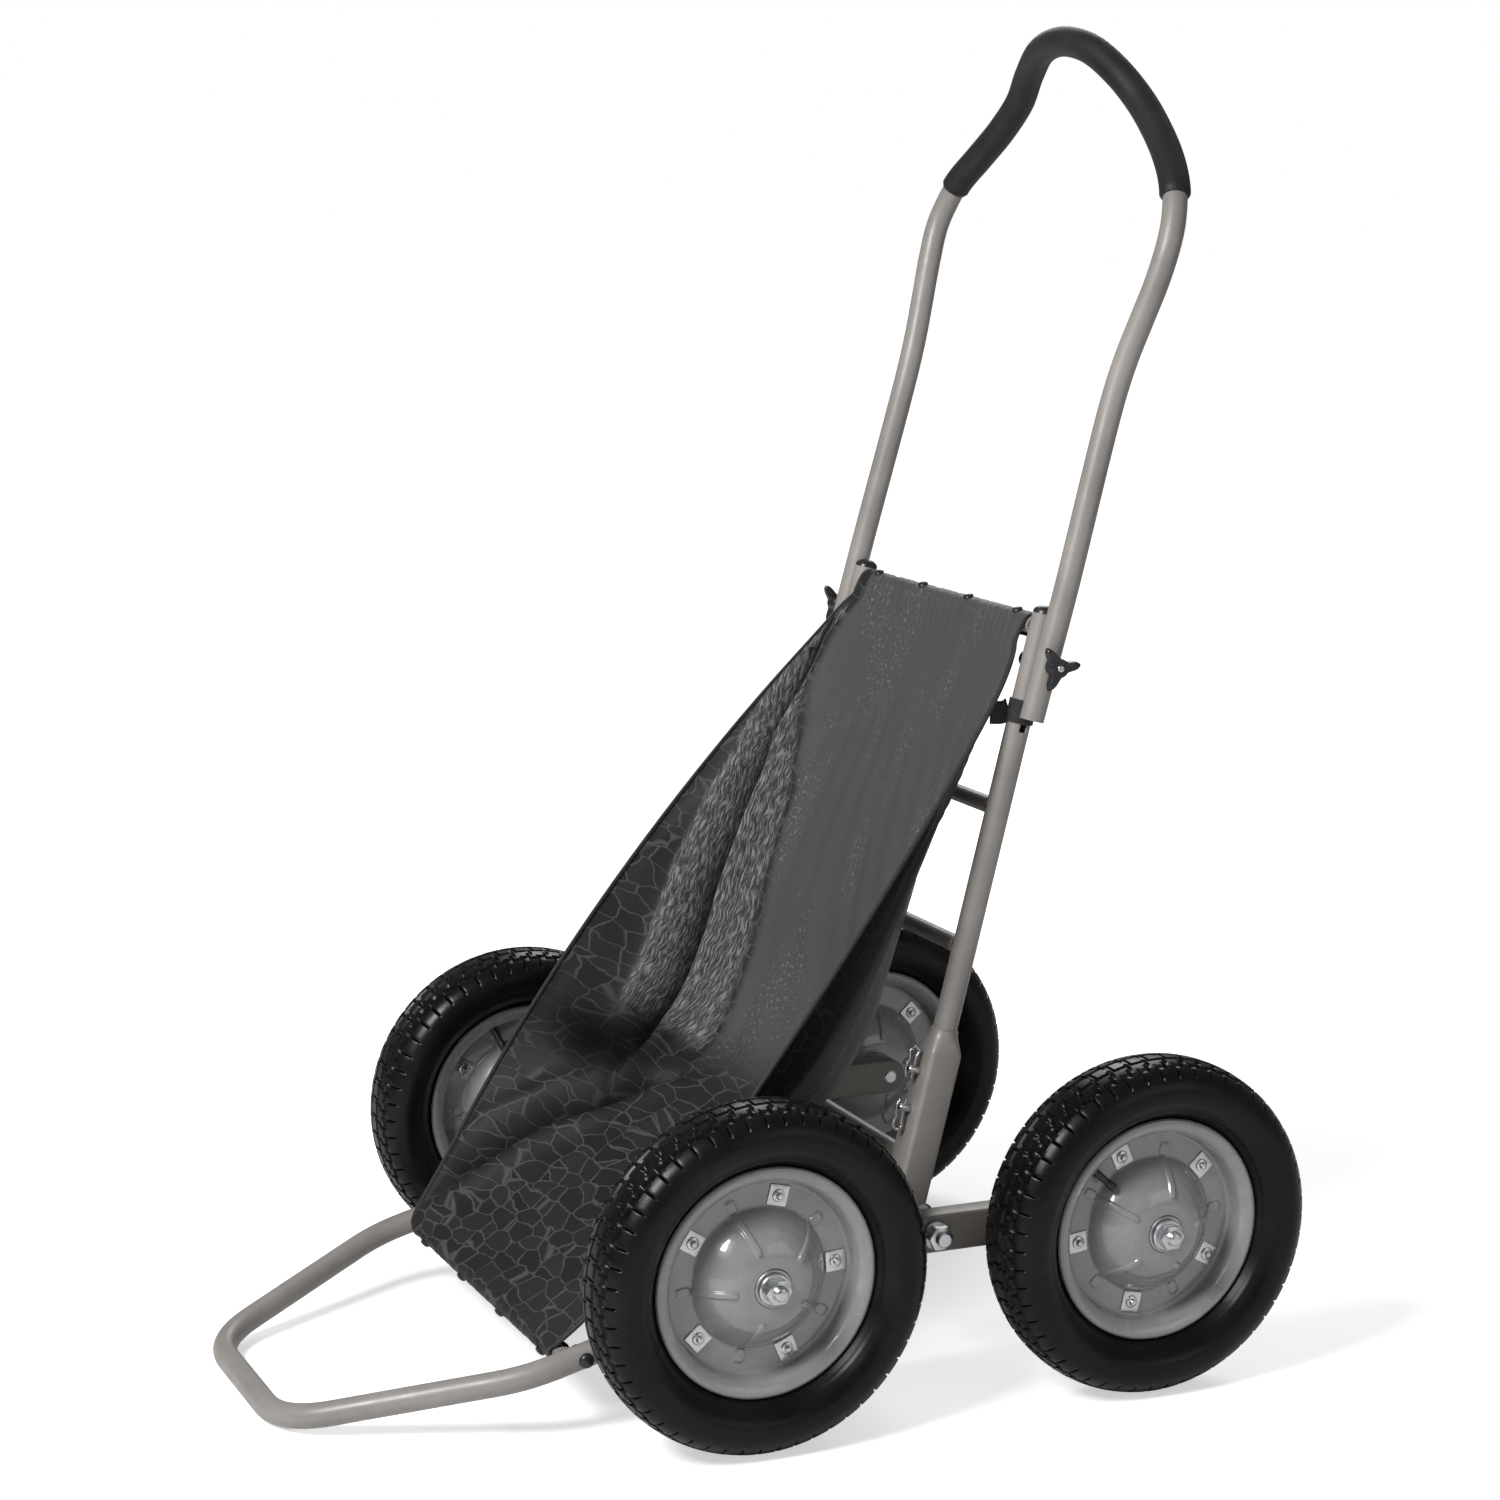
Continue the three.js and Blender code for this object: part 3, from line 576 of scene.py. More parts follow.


# %% [markdown]
# The sling's cloth is an open polyester mesh, printed all over with a scale pattern of pale lines.
# Long pale wavy streaks run down one band of it. The pattern follows the cloth, so it reads the
# piece's own map, in metres across and along the cut sheet. Shade is painted into its colour: the
# deep folds, the low hollow and the near flank are painted dark, and the plain middle is painted light.

# %% Sling cloth


def scale_mesh(name):
    """Scales are stretched cells with pale edges.

    A zone map holds three shares: red for streaked cloth, green for painted shade and blue for the
    plain middle, which is painted lighter as a sheen and carries painted glints.
    """
    shade, tree, shader, _ = shell(name, sheen_weight=0.02, sheen_roughness=0.35, specular_ior_level=0.12)
    cloth = add(tree, "UVMap", uv_map="surface").outputs["UV"]
    zones = add(tree, "Attribute", attribute_name="zones").outputs["Color"]
    zone = add(tree, "SeparateColor", {"Color": zones}).outputs
    streaked, shaded, plain = zone[0], zone[1], zone[2]
    covered = product(tree, maths(tree, "MAXIMUM", streaked, plain), 0.9)
    printed = maths(tree, "SUBTRACT", 1.0, covered)
    wander = add(tree, "TexNoise", {"Vector": cloth, "Scale": 26, "Detail": 3}).outputs["Color"]
    cells = stretched(tree, nudged(tree, cloth, wander, 0.022, 0.022, 0), 26, 50, 1)
    scales = {"Vector": cells, "Scale": 1, "Randomness": 0.62}
    edge = add(tree, "TexVoronoi", scales, feature="DISTANCE_TO_EDGE").outputs["Distance"]
    line = product(tree, ramp(tree, edge, (0.0, 1), (0.022, 0.7), (0.045, 0)), printed)
    scale_shade = add(tree, "TexVoronoi", scales).outputs["Color"]
    long_way = stretched(tree, nudged(tree, cloth, wander, 0.0014, 0.001, 0), 560, 62, 1)
    streaks = ramp(tree, noise(tree, long_way, 1, 3, 0.7), (0.47, 0), (0.6, 1))
    streaks = product(tree, streaks, streaked)
    # Glints: bright specks in rows over the plain middle, painted highlights in the base colour.
    glint_specks = ramp(tree, noise(tree, stretched(tree, cloth, 330, 200, 1), 1, 2), (0.58, 0), (0.68, 1))
    rows = ramp(tree, noise(tree, stretched(tree, cloth, 16, 5, 1), 1, 3), (0.48, 0), (0.6, 1))
    glints = product(tree, product(tree, glint_specks, rows), plain)
    base = mixed(tree, scale_shade, (0.017, 0.017, 0.0175), (0.031, 0.031, 0.0315))
    # Painted sheen: the plain middle is painted lighter than the scaled cloth.
    base = mixed(tree, plain, base, (0.080, 0.080, 0.081))
    base = mixed(tree, streaked, base, (0.045, 0.045, 0.046))
    base = mixed(tree, product(tree, line, 0.85), base, (0.098, 0.098, 0.1))
    base = mixed(tree, product(tree, streaks, 0.8), base, (0.34, 0.34, 0.343))
    # Painted highlights: the glints lighten the base colour.
    base = mixed(tree, product(tree, glints, 0.7), base, (0.26, 0.26, 0.263))
    holes = {"Vector": cloth, "Scale": 900, "Randomness": 0.25}
    weave = add(tree, "TexVoronoi", holes).outputs["Distance"]
    base = mixed(tree, ramp(tree, weave, (0.25, 0), (0.6, 0.35)), base, (0.005, 0.005, 0.005))
    # Painted shade: where the zone map is shaded, the colour goes nearly black.
    base = mixed(tree, product(tree, shaded, 0.95), base, (0.002, 0.002, 0.002))
    rough = maths(tree, "MAXIMUM", ramp(tree, line, (0, 0.5), (1, 0.72)), shaded)
    relief = maths(tree, "ADD", product(tree, weave, -0.3), product(tree, line, -0.6))
    relief = maths(tree, "ADD", relief, product(tree, streaks, 0.5))
    wire(tree, shader, base_color=base, roughness=rough, normal=bump(tree, relief, 0.0006, 0.8))
    return shade


FINISHES = {
    "frame_paint": powder_coat("frame_paint", (0.255, 0.235, 0.218)),
    # The beams take the frame's powder coat made darker: painted shade for beams that sit low in shadow.
    "beam_paint": powder_coat("beam_paint", (0.145, 0.130, 0.112)),
    "rim_paint": enamel("rim_paint", (0.235, 0.237, 0.24)),
    "tyre": rubber("tyre"),
    "grip_foam": foam("grip_foam"),
    "black_plastic": moulded("black_plastic"),
    "zinc": plated("zinc", (0.62, 0.63, 0.64), 0.42),
    "hub_steel": plated("hub_steel", (0.42, 0.42, 0.43), 0.5, 0.3),
    "bronze": plated("bronze", (0.42, 0.30, 0.15), 0.5, 0.3),
    "mesh_fabric": scale_mesh("mesh_fabric"),
    "webbing": webbing("webbing"),
}
print("finishes:", ", ".join(FINISHES))

# %% [markdown]
# ## The tube frame
# One bent tube makes the base: its side runs slope down to the ground, turn in at the shoulders and
# meet in a blunt nose. Two uprights lean back out of square knuckle sockets, and plain bars tie them
# together. The bends are quadratic curves between straight runs, as a tube bender leaves them.

# %% Base loop
SHOULDER = 0.440
NOSE_HALF = 0.120
BASE_REAR = -0.016
BENDS = [0.032, 0.054, 0.054, 0.032]


def bent_route(corners, tangents, steps=14):
    """Straight runs joined by quadratic bends that start and end a tangent length from each corner."""
    corners = np.asarray(corners, float)
    t = np.linspace(0, 1, steps)[:, None]
    runs = [corners[:1]]
    for before, corner, after, tangent in zip(corners, corners[1:], corners[2:], tangents):
        start = corner + tangent * unit(before - corner)
        end = corner + tangent * unit(after - corner)
        runs.append((1 - t) ** 2 * start + 2 * t * (1 - t) * corner + t**2 * end)
    runs.append(corners[-1:])
    return np.vstack(runs)


half_loop = [(BASE_X, BASE_REAR), (BASE_X, SHOULDER), (NOSE_HALF, NOSE_REACH)]
base_corners = [on_base(x, along) for x, along in half_loop]
base_corners += [on_base(-x, along) for x, along in half_loop[::-1]]
base_route = bent_route(base_corners, BENDS)
piece("base_loop_skin", tube(base_route, TUBE, TUBE_WALL, OVER_BASE, 40), "frame", "frame_paint",
      ["base_loop"])
print("base route:", len(base_route), "points")

# %% Uprights
UPRIGHT_FOOT, UPRIGHT_TOP = 0.030, 0.639
FOLD_HEIGHT = math.hypot(FOLD[1] - PIVOT[1], FOLD[2] - PIVOT[2])
SPARE_HOLE = 0.0085
SPARE_HOLE_DROP = 0.070


def upright(sign):
    """A straight tube; the quads of a square window are left out of its outboard wall's two skins."""
    window = FOLD_HEIGHT - SPARE_HOLE_DROP + np.array([-0.5, 0.5]) * SPARE_HOLE
    heights = np.concatenate([np.linspace(UPRIGHT_FOOT, window[0], 8), window[1:],
                              np.linspace(window[1], UPRIGHT_TOP, 6)[1:]])
    half_window = math.asin(SPARE_HOLE / 2 / TUBE)
    angle = np.concatenate([[-half_window], np.linspace(half_window, 2 * np.pi - half_window, 38)[:-1]])
    spoke = sign * np.cos(angle)[:, None] * X + np.sin(angle)[:, None] * BACK_LEAN
    lines = on_lean(sign * UPRIGHT_X, heights[:, None])
    outer = lines[:, None] + TUBE * spoke
    inner = lines[:, None] + (TUBE - TUBE_WALL) * spoke
    points, quads = skin(np.concatenate([outer, inner[::-1]]), ring_u=True, ring_v=True)
    rows, cols = 2 * len(heights), len(angle)
    row, col = quads[:, 0] // cols, quads[:, 0] % cols
    gap = (col == 0) & ((row == 7) | (row == rows - 9))
    ring = np.array([[7, 0], [8, 0], [8, 1], [7, 1]])
    outside = ring[:, 0] * cols + ring[:, 1]
    inside = (rows - 1 - ring[:, 0]) * cols + ring[:, 1]
    sill = np.stack([outside, np.roll(outside, -1), np.roll(inside, -1), inside], -1)
    return points, np.concatenate([quads[~gap], sill])


def upright_cap():
    """A domed plug: a lip as wide as the tube, then a dome whose profile is a flattened arc."""
    angle = np.linspace(0, np.pi / 2, 9)
    dome = np.stack([0.0125 * np.cos(angle), 0.0012 + 0.0078 * np.sin(angle)], -1)
    return np.vstack([[0, -0.012], [0.0105, -0.012], [0.0105, 0.0003], [0.0127, 0.0003], dome])


for side, sign in SIDES.items():
    piece(f"upright_skin_{side}", upright(sign), "frame", "frame_paint", [f"upright_{side}"])
    top = on_lean(sign * UPRIGHT_X, UPRIGHT_TOP)
    piece(f"upright_cap_{side}", turned_piece(upright_cap(), top, UP_LEAN), "frame", "black_plastic",
          [f"upright_plug_{side}"])
print("fold at", round(FOLD_HEIGHT, 4), "up the uprights")

# %% [markdown]
# The knuckle socket is square tube with its mouth swaged down to grip the round upright. Its section
# is four corner arcs, so that one formula runs from square to round as the arcs grow to half its width.

# %% Knuckle sockets
SOCKET_HALF = 0.018
SOCKET_FOOT, SOCKET_MOUTH = -0.020, 0.198
SWAGE = 0.026
SOCKET_WALL = 0.0044


def knuckle_socket(x):
    """Outer skin up to the round mouth, then the bore back down, joined into one closed shell."""
    heights = np.concatenate([[SOCKET_FOOT], np.linspace(SOCKET_MOUTH - SWAGE, SOCKET_MOUTH, 10)])
    share = np.clip((heights - SOCKET_MOUTH + SWAGE) / SWAGE, 0, 1)
    share = share * share * (3 - 2 * share)
    half = SOCKET_HALF + share * (TUBE + 0.0016 - SOCKET_HALF)
    corner = 0.0045 + share * (half - 0.0045)
    outer = rounded_square(half, corner)
    wall = SOCKET_WALL + share * (half - TUBE - CLEARANCE - SOCKET_WALL)
    inner = rounded_square(half - wall, np.minimum(corner, half - wall))
    sections = np.concatenate([outer, inner[::-1]])
    levels = np.concatenate([heights, heights[::-1]])
    points = (on_lean(x, levels[:, None])[:, None] + sections[..., :1] * X
              + sections[..., 1:] * BACK_LEAN)
    return skin(points, ring_u=True, ring_v=True)


for side, sign in SIDES.items():
    piece(f"socket_{side}", knuckle_socket(sign * UPRIGHT_X), "frame", "frame_paint",
          [f"knuckle_socket_{side}"])
print("sockets from", SOCKET_FOOT, "to", SOCKET_MOUTH, "along the uprights")

# %% [markdown]
# Bars between the uprights end in a weld: a small bead of paint-covered metal round each joint. A
# bead is a ring whose radius ripples a little, as a run of overlapping puddles does.

# %% Bars and welds
TOP_BAR_HEIGHT = 0.625
HEM_ALONG = 0.394
HEM_BAR_RADIUS = 0.008
HEM_BAR_GAP = 0.0135
PIVOT_TUBE_WALL = 0.004
BARS = {"sling_top_bar": (TOP_BAR_HEIGHT, 0.0095), "upper_crossbar": (0.434, 0.009),
        "lower_crossbar": (0.285, 0.009), "knuckle_crossbar": (0.057, 0.008)}


def weld_bead(centre, axis, radius, size=0.0022, puddles=22):
    """A ring of round section about axis; its section swells once for each puddle."""
    angle = np.linspace(0, 2 * np.pi, 4 * puddles, endpoint=False)
    side = unit(np.cross(axis, Y + Z / 3))
    spoke = np.cos(angle)[:, None] * side + np.sin(angle)[:, None] * np.cross(axis, side)
    swell = size * (1 + 0.22 * np.cos(puddles * angle))
    section = circle(1, 8)
    points = (centre + spoke[:, None] * (radius + swell[:, None, None] * section[None, :, :1])
              + swell[:, None, None] * section[None, :, 1:] * axis)
    return skin(points, ring_u=True, ring_v=True)


for name, (height, radius) in BARS.items():
    against = SOCKET_HALF if name == "knuckle_crossbar" else TUBE
    span = against + CLEARANCE - UPRIGHT_X, UPRIGHT_X - against - CLEARANCE
    ends = np.array([on_lean(x, height) for x in span])
    beads = [weld_bead(end, X, radius, 0.0018) for end in ends]
    piece(f"{name}_skin", together(bar(ends, radius, UP_LEAN), *beads), "frame", "frame_paint", [name])

hem_ends = np.array([on_base(x, HEM_ALONG) for x in (HEM_BAR_GAP - BASE_X, BASE_X - HEM_BAR_GAP)])
beads = [weld_bead(end, X, HEM_BAR_RADIUS) for end in hem_ends]
piece("hem_bar_skin", together(bar(hem_ends, HEM_BAR_RADIUS, OVER_BASE), *beads), "frame",
      "frame_paint", ["sling_bottom_bar"])
pivot_ends = PIVOT + np.outer([-1, 1], X) * (UPRIGHT_X - SOCKET_HALF - CLEARANCE)
beads = [weld_bead(end, X, TUBE) for end in pivot_ends]
piece("pivot_tube_skin", together(tube(pivot_ends, TUBE, PIVOT_TUBE_WALL, Z), *beads), "frame",
      "frame_paint", ["pivot_tube"])
print("bars:", ", ".join(BARS))

# %% [markdown]
# ## Pins and clips
# Two clevis pins cross each socket from front to back, and a hairpin clip holds each one. The clip is
# bright wire: a straight leg through the pin, a coil at the end and a bowed leg that springs over it.

# %% Retaining pins and clips
PIN_HEIGHTS = {"lower": 0.110, "upper": 0.151}
PIN_TIP, PIN_HEAD = -0.032, 0.0218
CLIP_BACK = -0.026
CLIP_ROUTE = np.array([(0, -9), (0, 0), (0, 8), (0.5, 14), (2.5, 20), (-3, 24), (-8, 19), (-7, 11), (-9, 0),
                       (-6.5, -8)]) / 1000


def clevis_pin(start):
    """A shank with a chamfered tip and a flat head with a softened rim."""
    profile = [(0, PIN_TIP), (0.0028, PIN_TIP), (0.004, PIN_TIP + 0.0015), (0.004, 0.0183),
               (0.0064, 0.0183), (0.007, 0.0189), (0.007, 0.0212), (0.0062, PIN_HEAD), (0, PIN_HEAD)]
    return turned_piece(profile, start, BACK_LEAN, 32)


for side, sign in SIDES.items():
    for level, height in PIN_HEIGHTS.items():
        start = on_lean(sign * UPRIGHT_X, height)
        piece(f"clevis_pin_{side}_{level}", clevis_pin(start), "frame", "zinc",
              [f"retaining_pin_{side}_{level}"])
        way = 1 if level == "upper" else -1
        flat = smooth_route(CLIP_ROUTE, 9)
        route = start + (CLIP_BACK + flat[:, :1]) * BACK_LEAN + way * flat[:, 1:] * UP_LEAN
        piece(f"hairpin_{side}_{level}", bar(route, 0.00125, X, 12), f"r_clip_{side}_{level}", "zinc",
              [f"r_clip_{side}_{level}"])
print("pins at", PIN_HEIGHTS)

# %% [markdown]
# ## Pivot and walking beams
# A rod passes through both base tubes and sockets, and a beam rocks on each end of it in a bronze
# bush. The beam is box tube with round ends. A stub axle is welded through each end.

# %% Nuts and threads
THREAD_PITCH = 0.0015


def hexagon_nut(origin, axis, across_flats, height, chamfer=0.0012):
    """A hexagon stacked along axis, chamfered at both faces."""
    corner = across_flats / math.sqrt(3)
    angle = np.arange(6) * np.pi / 3
    shape = corner * np.stack([np.cos(angle), np.sin(angle)], -1)
    trim = 1 - chamfer / corner
    rim = chamfer * 0.6
    levels = [(0, 0), (0, trim), (rim, 1), (height - rim, 1), (height, trim), (height, 0)]
    return stacked(shape, levels, origin, axis, Z if abs(axis[2]) < 0.9 else Y)


def threaded_end(origin, axis, radius, length, pitch=THREAD_PITCH):
    """A bar whose radius follows a triangle wave along its length and rounds off at the tip."""
    steps = np.arange(0, length - 0.35 * radius, pitch / 4)
    depth = 0.3 * pitch * np.abs((steps / pitch) % 1 - 0.5) * 2
    tip = np.linspace(0, np.pi / 2, 7)
    body = np.stack([radius - depth, steps], -1)
    dome = np.stack([0.9 * radius * np.cos(tip), steps[-1] + pitch / 4 + 0.35 * radius * np.sin(tip)], -1)
    return turned_piece(np.vstack([[0, 0], body, dome]), origin, axis, 40)


def flange_nut(origin, axis, flange, across_flats, height):
    """A washer-faced nut: a thin rounded flange under a hexagon."""
    rim = [(0, 0), (flange - 0.0006, 0), (flange, 0.0006), (flange, 0.0018), (flange - 0.0012, 0.003),
           (0, 0.003)]
    nut = hexagon_nut(origin + 0.003 * axis, axis, across_flats, height)
    return together(turned_piece(rim, origin, axis), nut)


print("thread pitch", THREAD_PITCH)

# %% Pivot rod, beams and stub axles
BEAM_INNER, BEAM_OUTER = 0.254, 0.281
BEAM_HALF = 0.020
AXLE = 0.008
AXLE_END = WHEEL["front", "left"][0] + 0.061
HALF_BASE = abs(WHEEL["front", "left"][1] - PIVOT[1])
THREAD_START = 0.1105
WHEEL_NUT_SEAT = 0.041
NUT_FLATS = 0.0235
ROD_HALF = 0.303


def walking_beam(sign):
    """A stadium outline stacked across the beam's width; its rims are quarter arcs."""
    angle = np.linspace(-np.pi / 2, np.pi / 2, 19)
    end = np.stack([BEAM_HALF * np.sin(angle), HALF_BASE + BEAM_HALF * np.cos(angle)], -1)
    width, rim = BEAM_OUTER - BEAM_INNER, 0.003
    arc = np.linspace(0, np.pi / 2, 5)
    insets = np.concatenate([rim * (1 - np.sin(arc)), rim * (1 - np.sin(arc[::-1]))])
    depths = np.concatenate([rim * (1 - np.cos(arc)), width - rim * (1 - np.cos(arc[::-1]))])
    rows = []
    for inset, depth in zip(insets, depths):
        near = end - inset * np.stack([np.sin(angle), np.cos(angle)], -1)
        outline = np.vstack([near, -near])
        rows.append(PIVOT + sign * (BEAM_INNER + depth) * X + outline[:, :1] * Z + outline[:, 1:] * Y)
    return skin(capped(np.array(rows)), ring_v=True)


for side, sign in SIDES.items():
    out = sign * X
    piece(f"beam_skin_{side}", walking_beam(sign), f"beam_{side}", "beam_paint", [f"walking_beam_{side}"])
    bush = [(AXLE + CLEARANCE, 0), (0.0112, 0), (0.012, 0.0006), (0.012, 0.0274), (0.0112, 0.028),
            (AXLE + CLEARANCE, 0.028)]
    piece(f"bush_{side}", turned_piece(bush, PIVOT + (BEAM_INNER - 0.0005) * out, out, hollow=True),
          f"beam_{side}", "bronze", [f"pivot_bush_{side}"])
    nut = flange_nut(PIVOT + (BEAM_OUTER + 0.0016) * out, out, 0.015, NUT_FLATS, 0.011)
    piece(f"pivot_nut_skin_{side}", nut, "frame", "zinc", [f"pivot_nut_{side}"])
    for end in ENDS:
        hub = WHEEL[end, side]
        centre = hub * [0, 1, 1]
        profile = [(0, 0), (0.0065, 0), (AXLE, 0.0012), (AXLE, 0.112), (0, 0.112)]
        shank = turned_piece(profile, centre + (BEAM_INNER - 0.0012) * out, out, 40)
        thread_from = centre + (BEAM_INNER + THREAD_START) * out
        thread = threaded_end(thread_from, out, AXLE, AXLE_END - BEAM_INNER - THREAD_START)
        bead = weld_bead(centre + (BEAM_OUTER + 0.001) * out, X, 0.0095, 0.002)
        piece(f"axle_{end}_{side}", together(shank, thread, bead), f"beam_{side}", "zinc",
              [f"stub_axle_{end}_{side}"])
        nut = flange_nut(hub + WHEEL_NUT_SEAT * out, out, 0.0165, NUT_FLATS, 0.0098)
        piece(f"wheel_nut_{end}_{side}", nut, f"beam_{side}", "zinc", [f"axle_nut_{end}_{side}"])
rod = [(0, 0), (0.0068, 0), (AXLE, 0.0012), (AXLE, 0.6048), (0.0068, 0.606), (0, 0.606)]
piece("pivot_rod_skin", turned_piece(rod, PIVOT - ROD_HALF * X, X), "frame", "zinc", ["pivot_rod"])
print("wheelbase", round(2 * HALF_BASE, 4))

# %% [markdown]
# ## Wheels
# A pneumatic barrow wheel: a block-tread tyre on a rim of two pressed halves, bolted together by five
# short bolts with square washers. Each part is a grid of angle round the axle against place along its
# section, so the tread and the pressed ribs are depths taken off or added to that section.

# %% Wheel grid
BOLT_TURN = {"front": math.radians(4.5), "rear": math.radians(42.5)}
BOLTS = 5
BOLT_RING = 0.0835
SECTOR = 2 * np.pi / BOLTS


def wheel_points(hub, out, angle, radius, offset):
    """Angle runs from +Y towards +Z, radius from the axle, offset outwards from the mid-plane."""
    spoke = np.cos(angle)[..., None] * Y + np.sin(angle)[..., None] * Z
    return hub + offset[..., None] * out + radius[..., None] * spoke


def ease(value):
    """0 below 0, 1 above 1, and a smooth rise between them."""
    value = np.clip(value, 0, 1)
    return value * value * (3 - 2 * value)


# %% [markdown]
# The tread has five rows of blocks. Zigzag grooves run round the tyre, and cross grooves cut each row
# once per pitch. The angles are packed close where a cross groove's walls fall, and nowhere else.

# %% Tyre
TYRE_RADIUS = PIVOT[2]
PITCHES = 54
PITCH = 2 * np.pi * TYRE_RADIUS / PITCHES
GROOVE = 0.0034
TYRE_HALF = np.array([
    (102.9, 17), (109, 19.2), (117.3, 20.6), (121.5, 26), (129, 36), (138, 42.6), (148, 44.4),
    (157, 43), (165, 38.6), (171.5, 31), (175.6, 20), (177.6, 9), (178, 0)]) / 1000
TYRE_BORE = np.array([
    (172, 0), (170, 15), (162, 31), (150, 38), (139, 36.5), (124, 22), (112, 12), (102.9, 10)]) / 1000


def zigzag(value):
    """A triangle wave from -1 to 1 with period 1."""
    return 4 * np.abs((value + 0.25) % 1 - 0.5) - 1


def groove(distance, half_width, wall=0.0007):
    """1 on a groove's floor, 0 outside it, with a short slanting wall."""
    return 1 - ease((np.abs(distance) - half_width) / wall)


def cross_groove(turn, shift, half_width=0.0014):
    """1 on a groove across the tread that comes once a pitch, shifted by a share of a pitch."""
    return groove(((turn + shift) % 1 - 0.5) * PITCH, half_width)


def tread_depth(turn, side):
    """Depth cut into the crown: turn counts pitches round, side is metres across from the centre."""
    across = np.abs(side)
    inner = groove(across - 0.0085 - 0.0012 * zigzag(turn), 0.0011)
    outer = groove(across - 0.0255 - 0.0013 * zigzag(turn + 0.5), 0.0014)
    centre_row = cross_groove(turn, 0.5) * (across < 0.009) * 0.7
    step = np.where(across < 0.017, 0.25, 0.0)
    middle_row = cross_groove(turn, step) * ease((across - 0.0075) / 0.002) * ease((0.027 - across) / 0.002)
    hook = groove(across - 0.017, 0.0009) * ((turn % 1 > 0.25) & (turn % 1 < 0.5))
    shoulder = cross_groove(turn, 0.5, 0.0008)
    shoulder = shoulder * ease((across - 0.024) / 0.003) * ease((0.047 - across) / 0.009)
    depth = np.maximum.reduce([inner, outer, centre_row, middle_row, hook * 0.8, shoulder * 1.15])
    return GROOVE * depth * ease((0.055 - across) / 0.006)


def tyre(hub, out):
    """The section spun round the hub, lowered by the tread's depth; fine marks lie on its walls."""
    half = spaced(smooth_route(TYRE_HALF, 10), 40)
    section = np.vstack([half, half[-2::-1] * [1, -1]])
    bore = smooth_route(TYRE_BORE, 2)
    bore = np.vstack([bore[::-1], bore[1:] * [1, -1]])
    length = np.concatenate([[0], np.cumsum(np.linalg.norm(np.diff(section, axis=0), axis=1))])
    side = length - length[-1] / 2
    wall = np.array([-2.1, -1.4, 0, 1.4, 2.1]) / 1000 / PITCH
    fractions = np.concatenate([wall % 1, 0.25 + wall, 0.5 + wall, [0.75]])
    turn = (np.arange(PITCHES)[:, None] + np.sort(fractions)[None]).ravel()
    depth = tread_depth(turn[:, None], side[None])
    round_wall = groove(((turn % 1) - 0.5)[:, None] * PITCH, 0.0006)
    ticks = 0.0005 * round_wall * groove(np.abs(side)[None] - 0.0615, 0.004)
    normal = np.gradient(section, axis=0)
    normal = unit(np.stack([normal[:, 1], -normal[:, 0]], -1))
    normal *= np.sign((normal * (section - [0.14, 0])).sum(-1, keepdims=True))
    skin_points = section[None] - (depth + ticks)[..., None] * normal[None]
    rim_line = 0.0006 * groove(section[:, 0] - 0.1265, 0.0007)[None, :, None] * normal[None]
    skin_points = skin_points + rim_line
    bore_points = np.broadcast_to(bore[::-1], (len(turn), *bore.shape))
    profile = np.concatenate([skin_points, bore_points], 1)
    angle = np.broadcast_to(turn[:, None] * 2 * np.pi / PITCHES, profile.shape[:2])
    return skin(wheel_points(hub, out, angle, profile[..., 0], profile[..., 1]), ring_u=True, ring_v=True)


# %% [markdown]
# A rim half is pressed from sheet: a domed centre with five ribs, a flat bolting ring, a straight
# well and a rolled lip. The ribs and the small pads between the washers are raised along the axle.

# %% Rims
RIM_FACE = np.array([(20, 38.4), (22.5, 38.3)]) / 1000
RIM_WELL = np.array([
    (71.6, 3.5), (73.3, 2.7), (95.6, 2.7), (98.4, 3.6), (99.6, 6.5), (100.6, 15), (101.6, 19.2),
    (104.6, 22.6), (109, 25.2), (113.2, 26.3), (116.4, 25.2), (117.6, 22.8), (116.8, 20.9),
    (114.6, 21.5), (112.4, 23.0), (108, 21.4), (104.6, 18.6), (103.2, 15), (102.2, 6), (101.4, 1.6),
    (98.8, 0.3), (73, 0.3), (69.6, 1.6)]) / 1000
DOME_POWER = 2.36


def dome(radius, low=0.0035, high=0.0383):
    """Height of the dome above the mid-plane: it drops from its top by a power of the radius."""
    share = np.clip((radius - 0.0225) / (0.0716 - 0.0225), 0, 1)
    return high - (high - low) * share**DOME_POWER


RIB_MIDDLE, RIB_HALF = 0.055, 0.0145


def pressed(angle, radius, first):
    """Height of the ribs and pads: each is a rounded bar along the spoke midway between two bolts."""
    spread = ((angle - first + SECTOR / 2) % SECTOR - SECTOR / 2) * radius
    rib_end = np.maximum(np.abs(radius - RIB_MIDDLE) - RIB_HALF, 0)
    rib = 1 - ease((np.hypot(spread, rib_end) - 0.0022) / 0.0022)
    pad_end = np.maximum(np.abs(radius - 0.0805) - 0.0038, 0)
    pad = 1 - ease((np.hypot(np.maximum(np.abs(spread) - 0.0022, 0), pad_end) - 0.0022) / 0.0012)
    return 0.0026 * rib + 0.0017 * pad


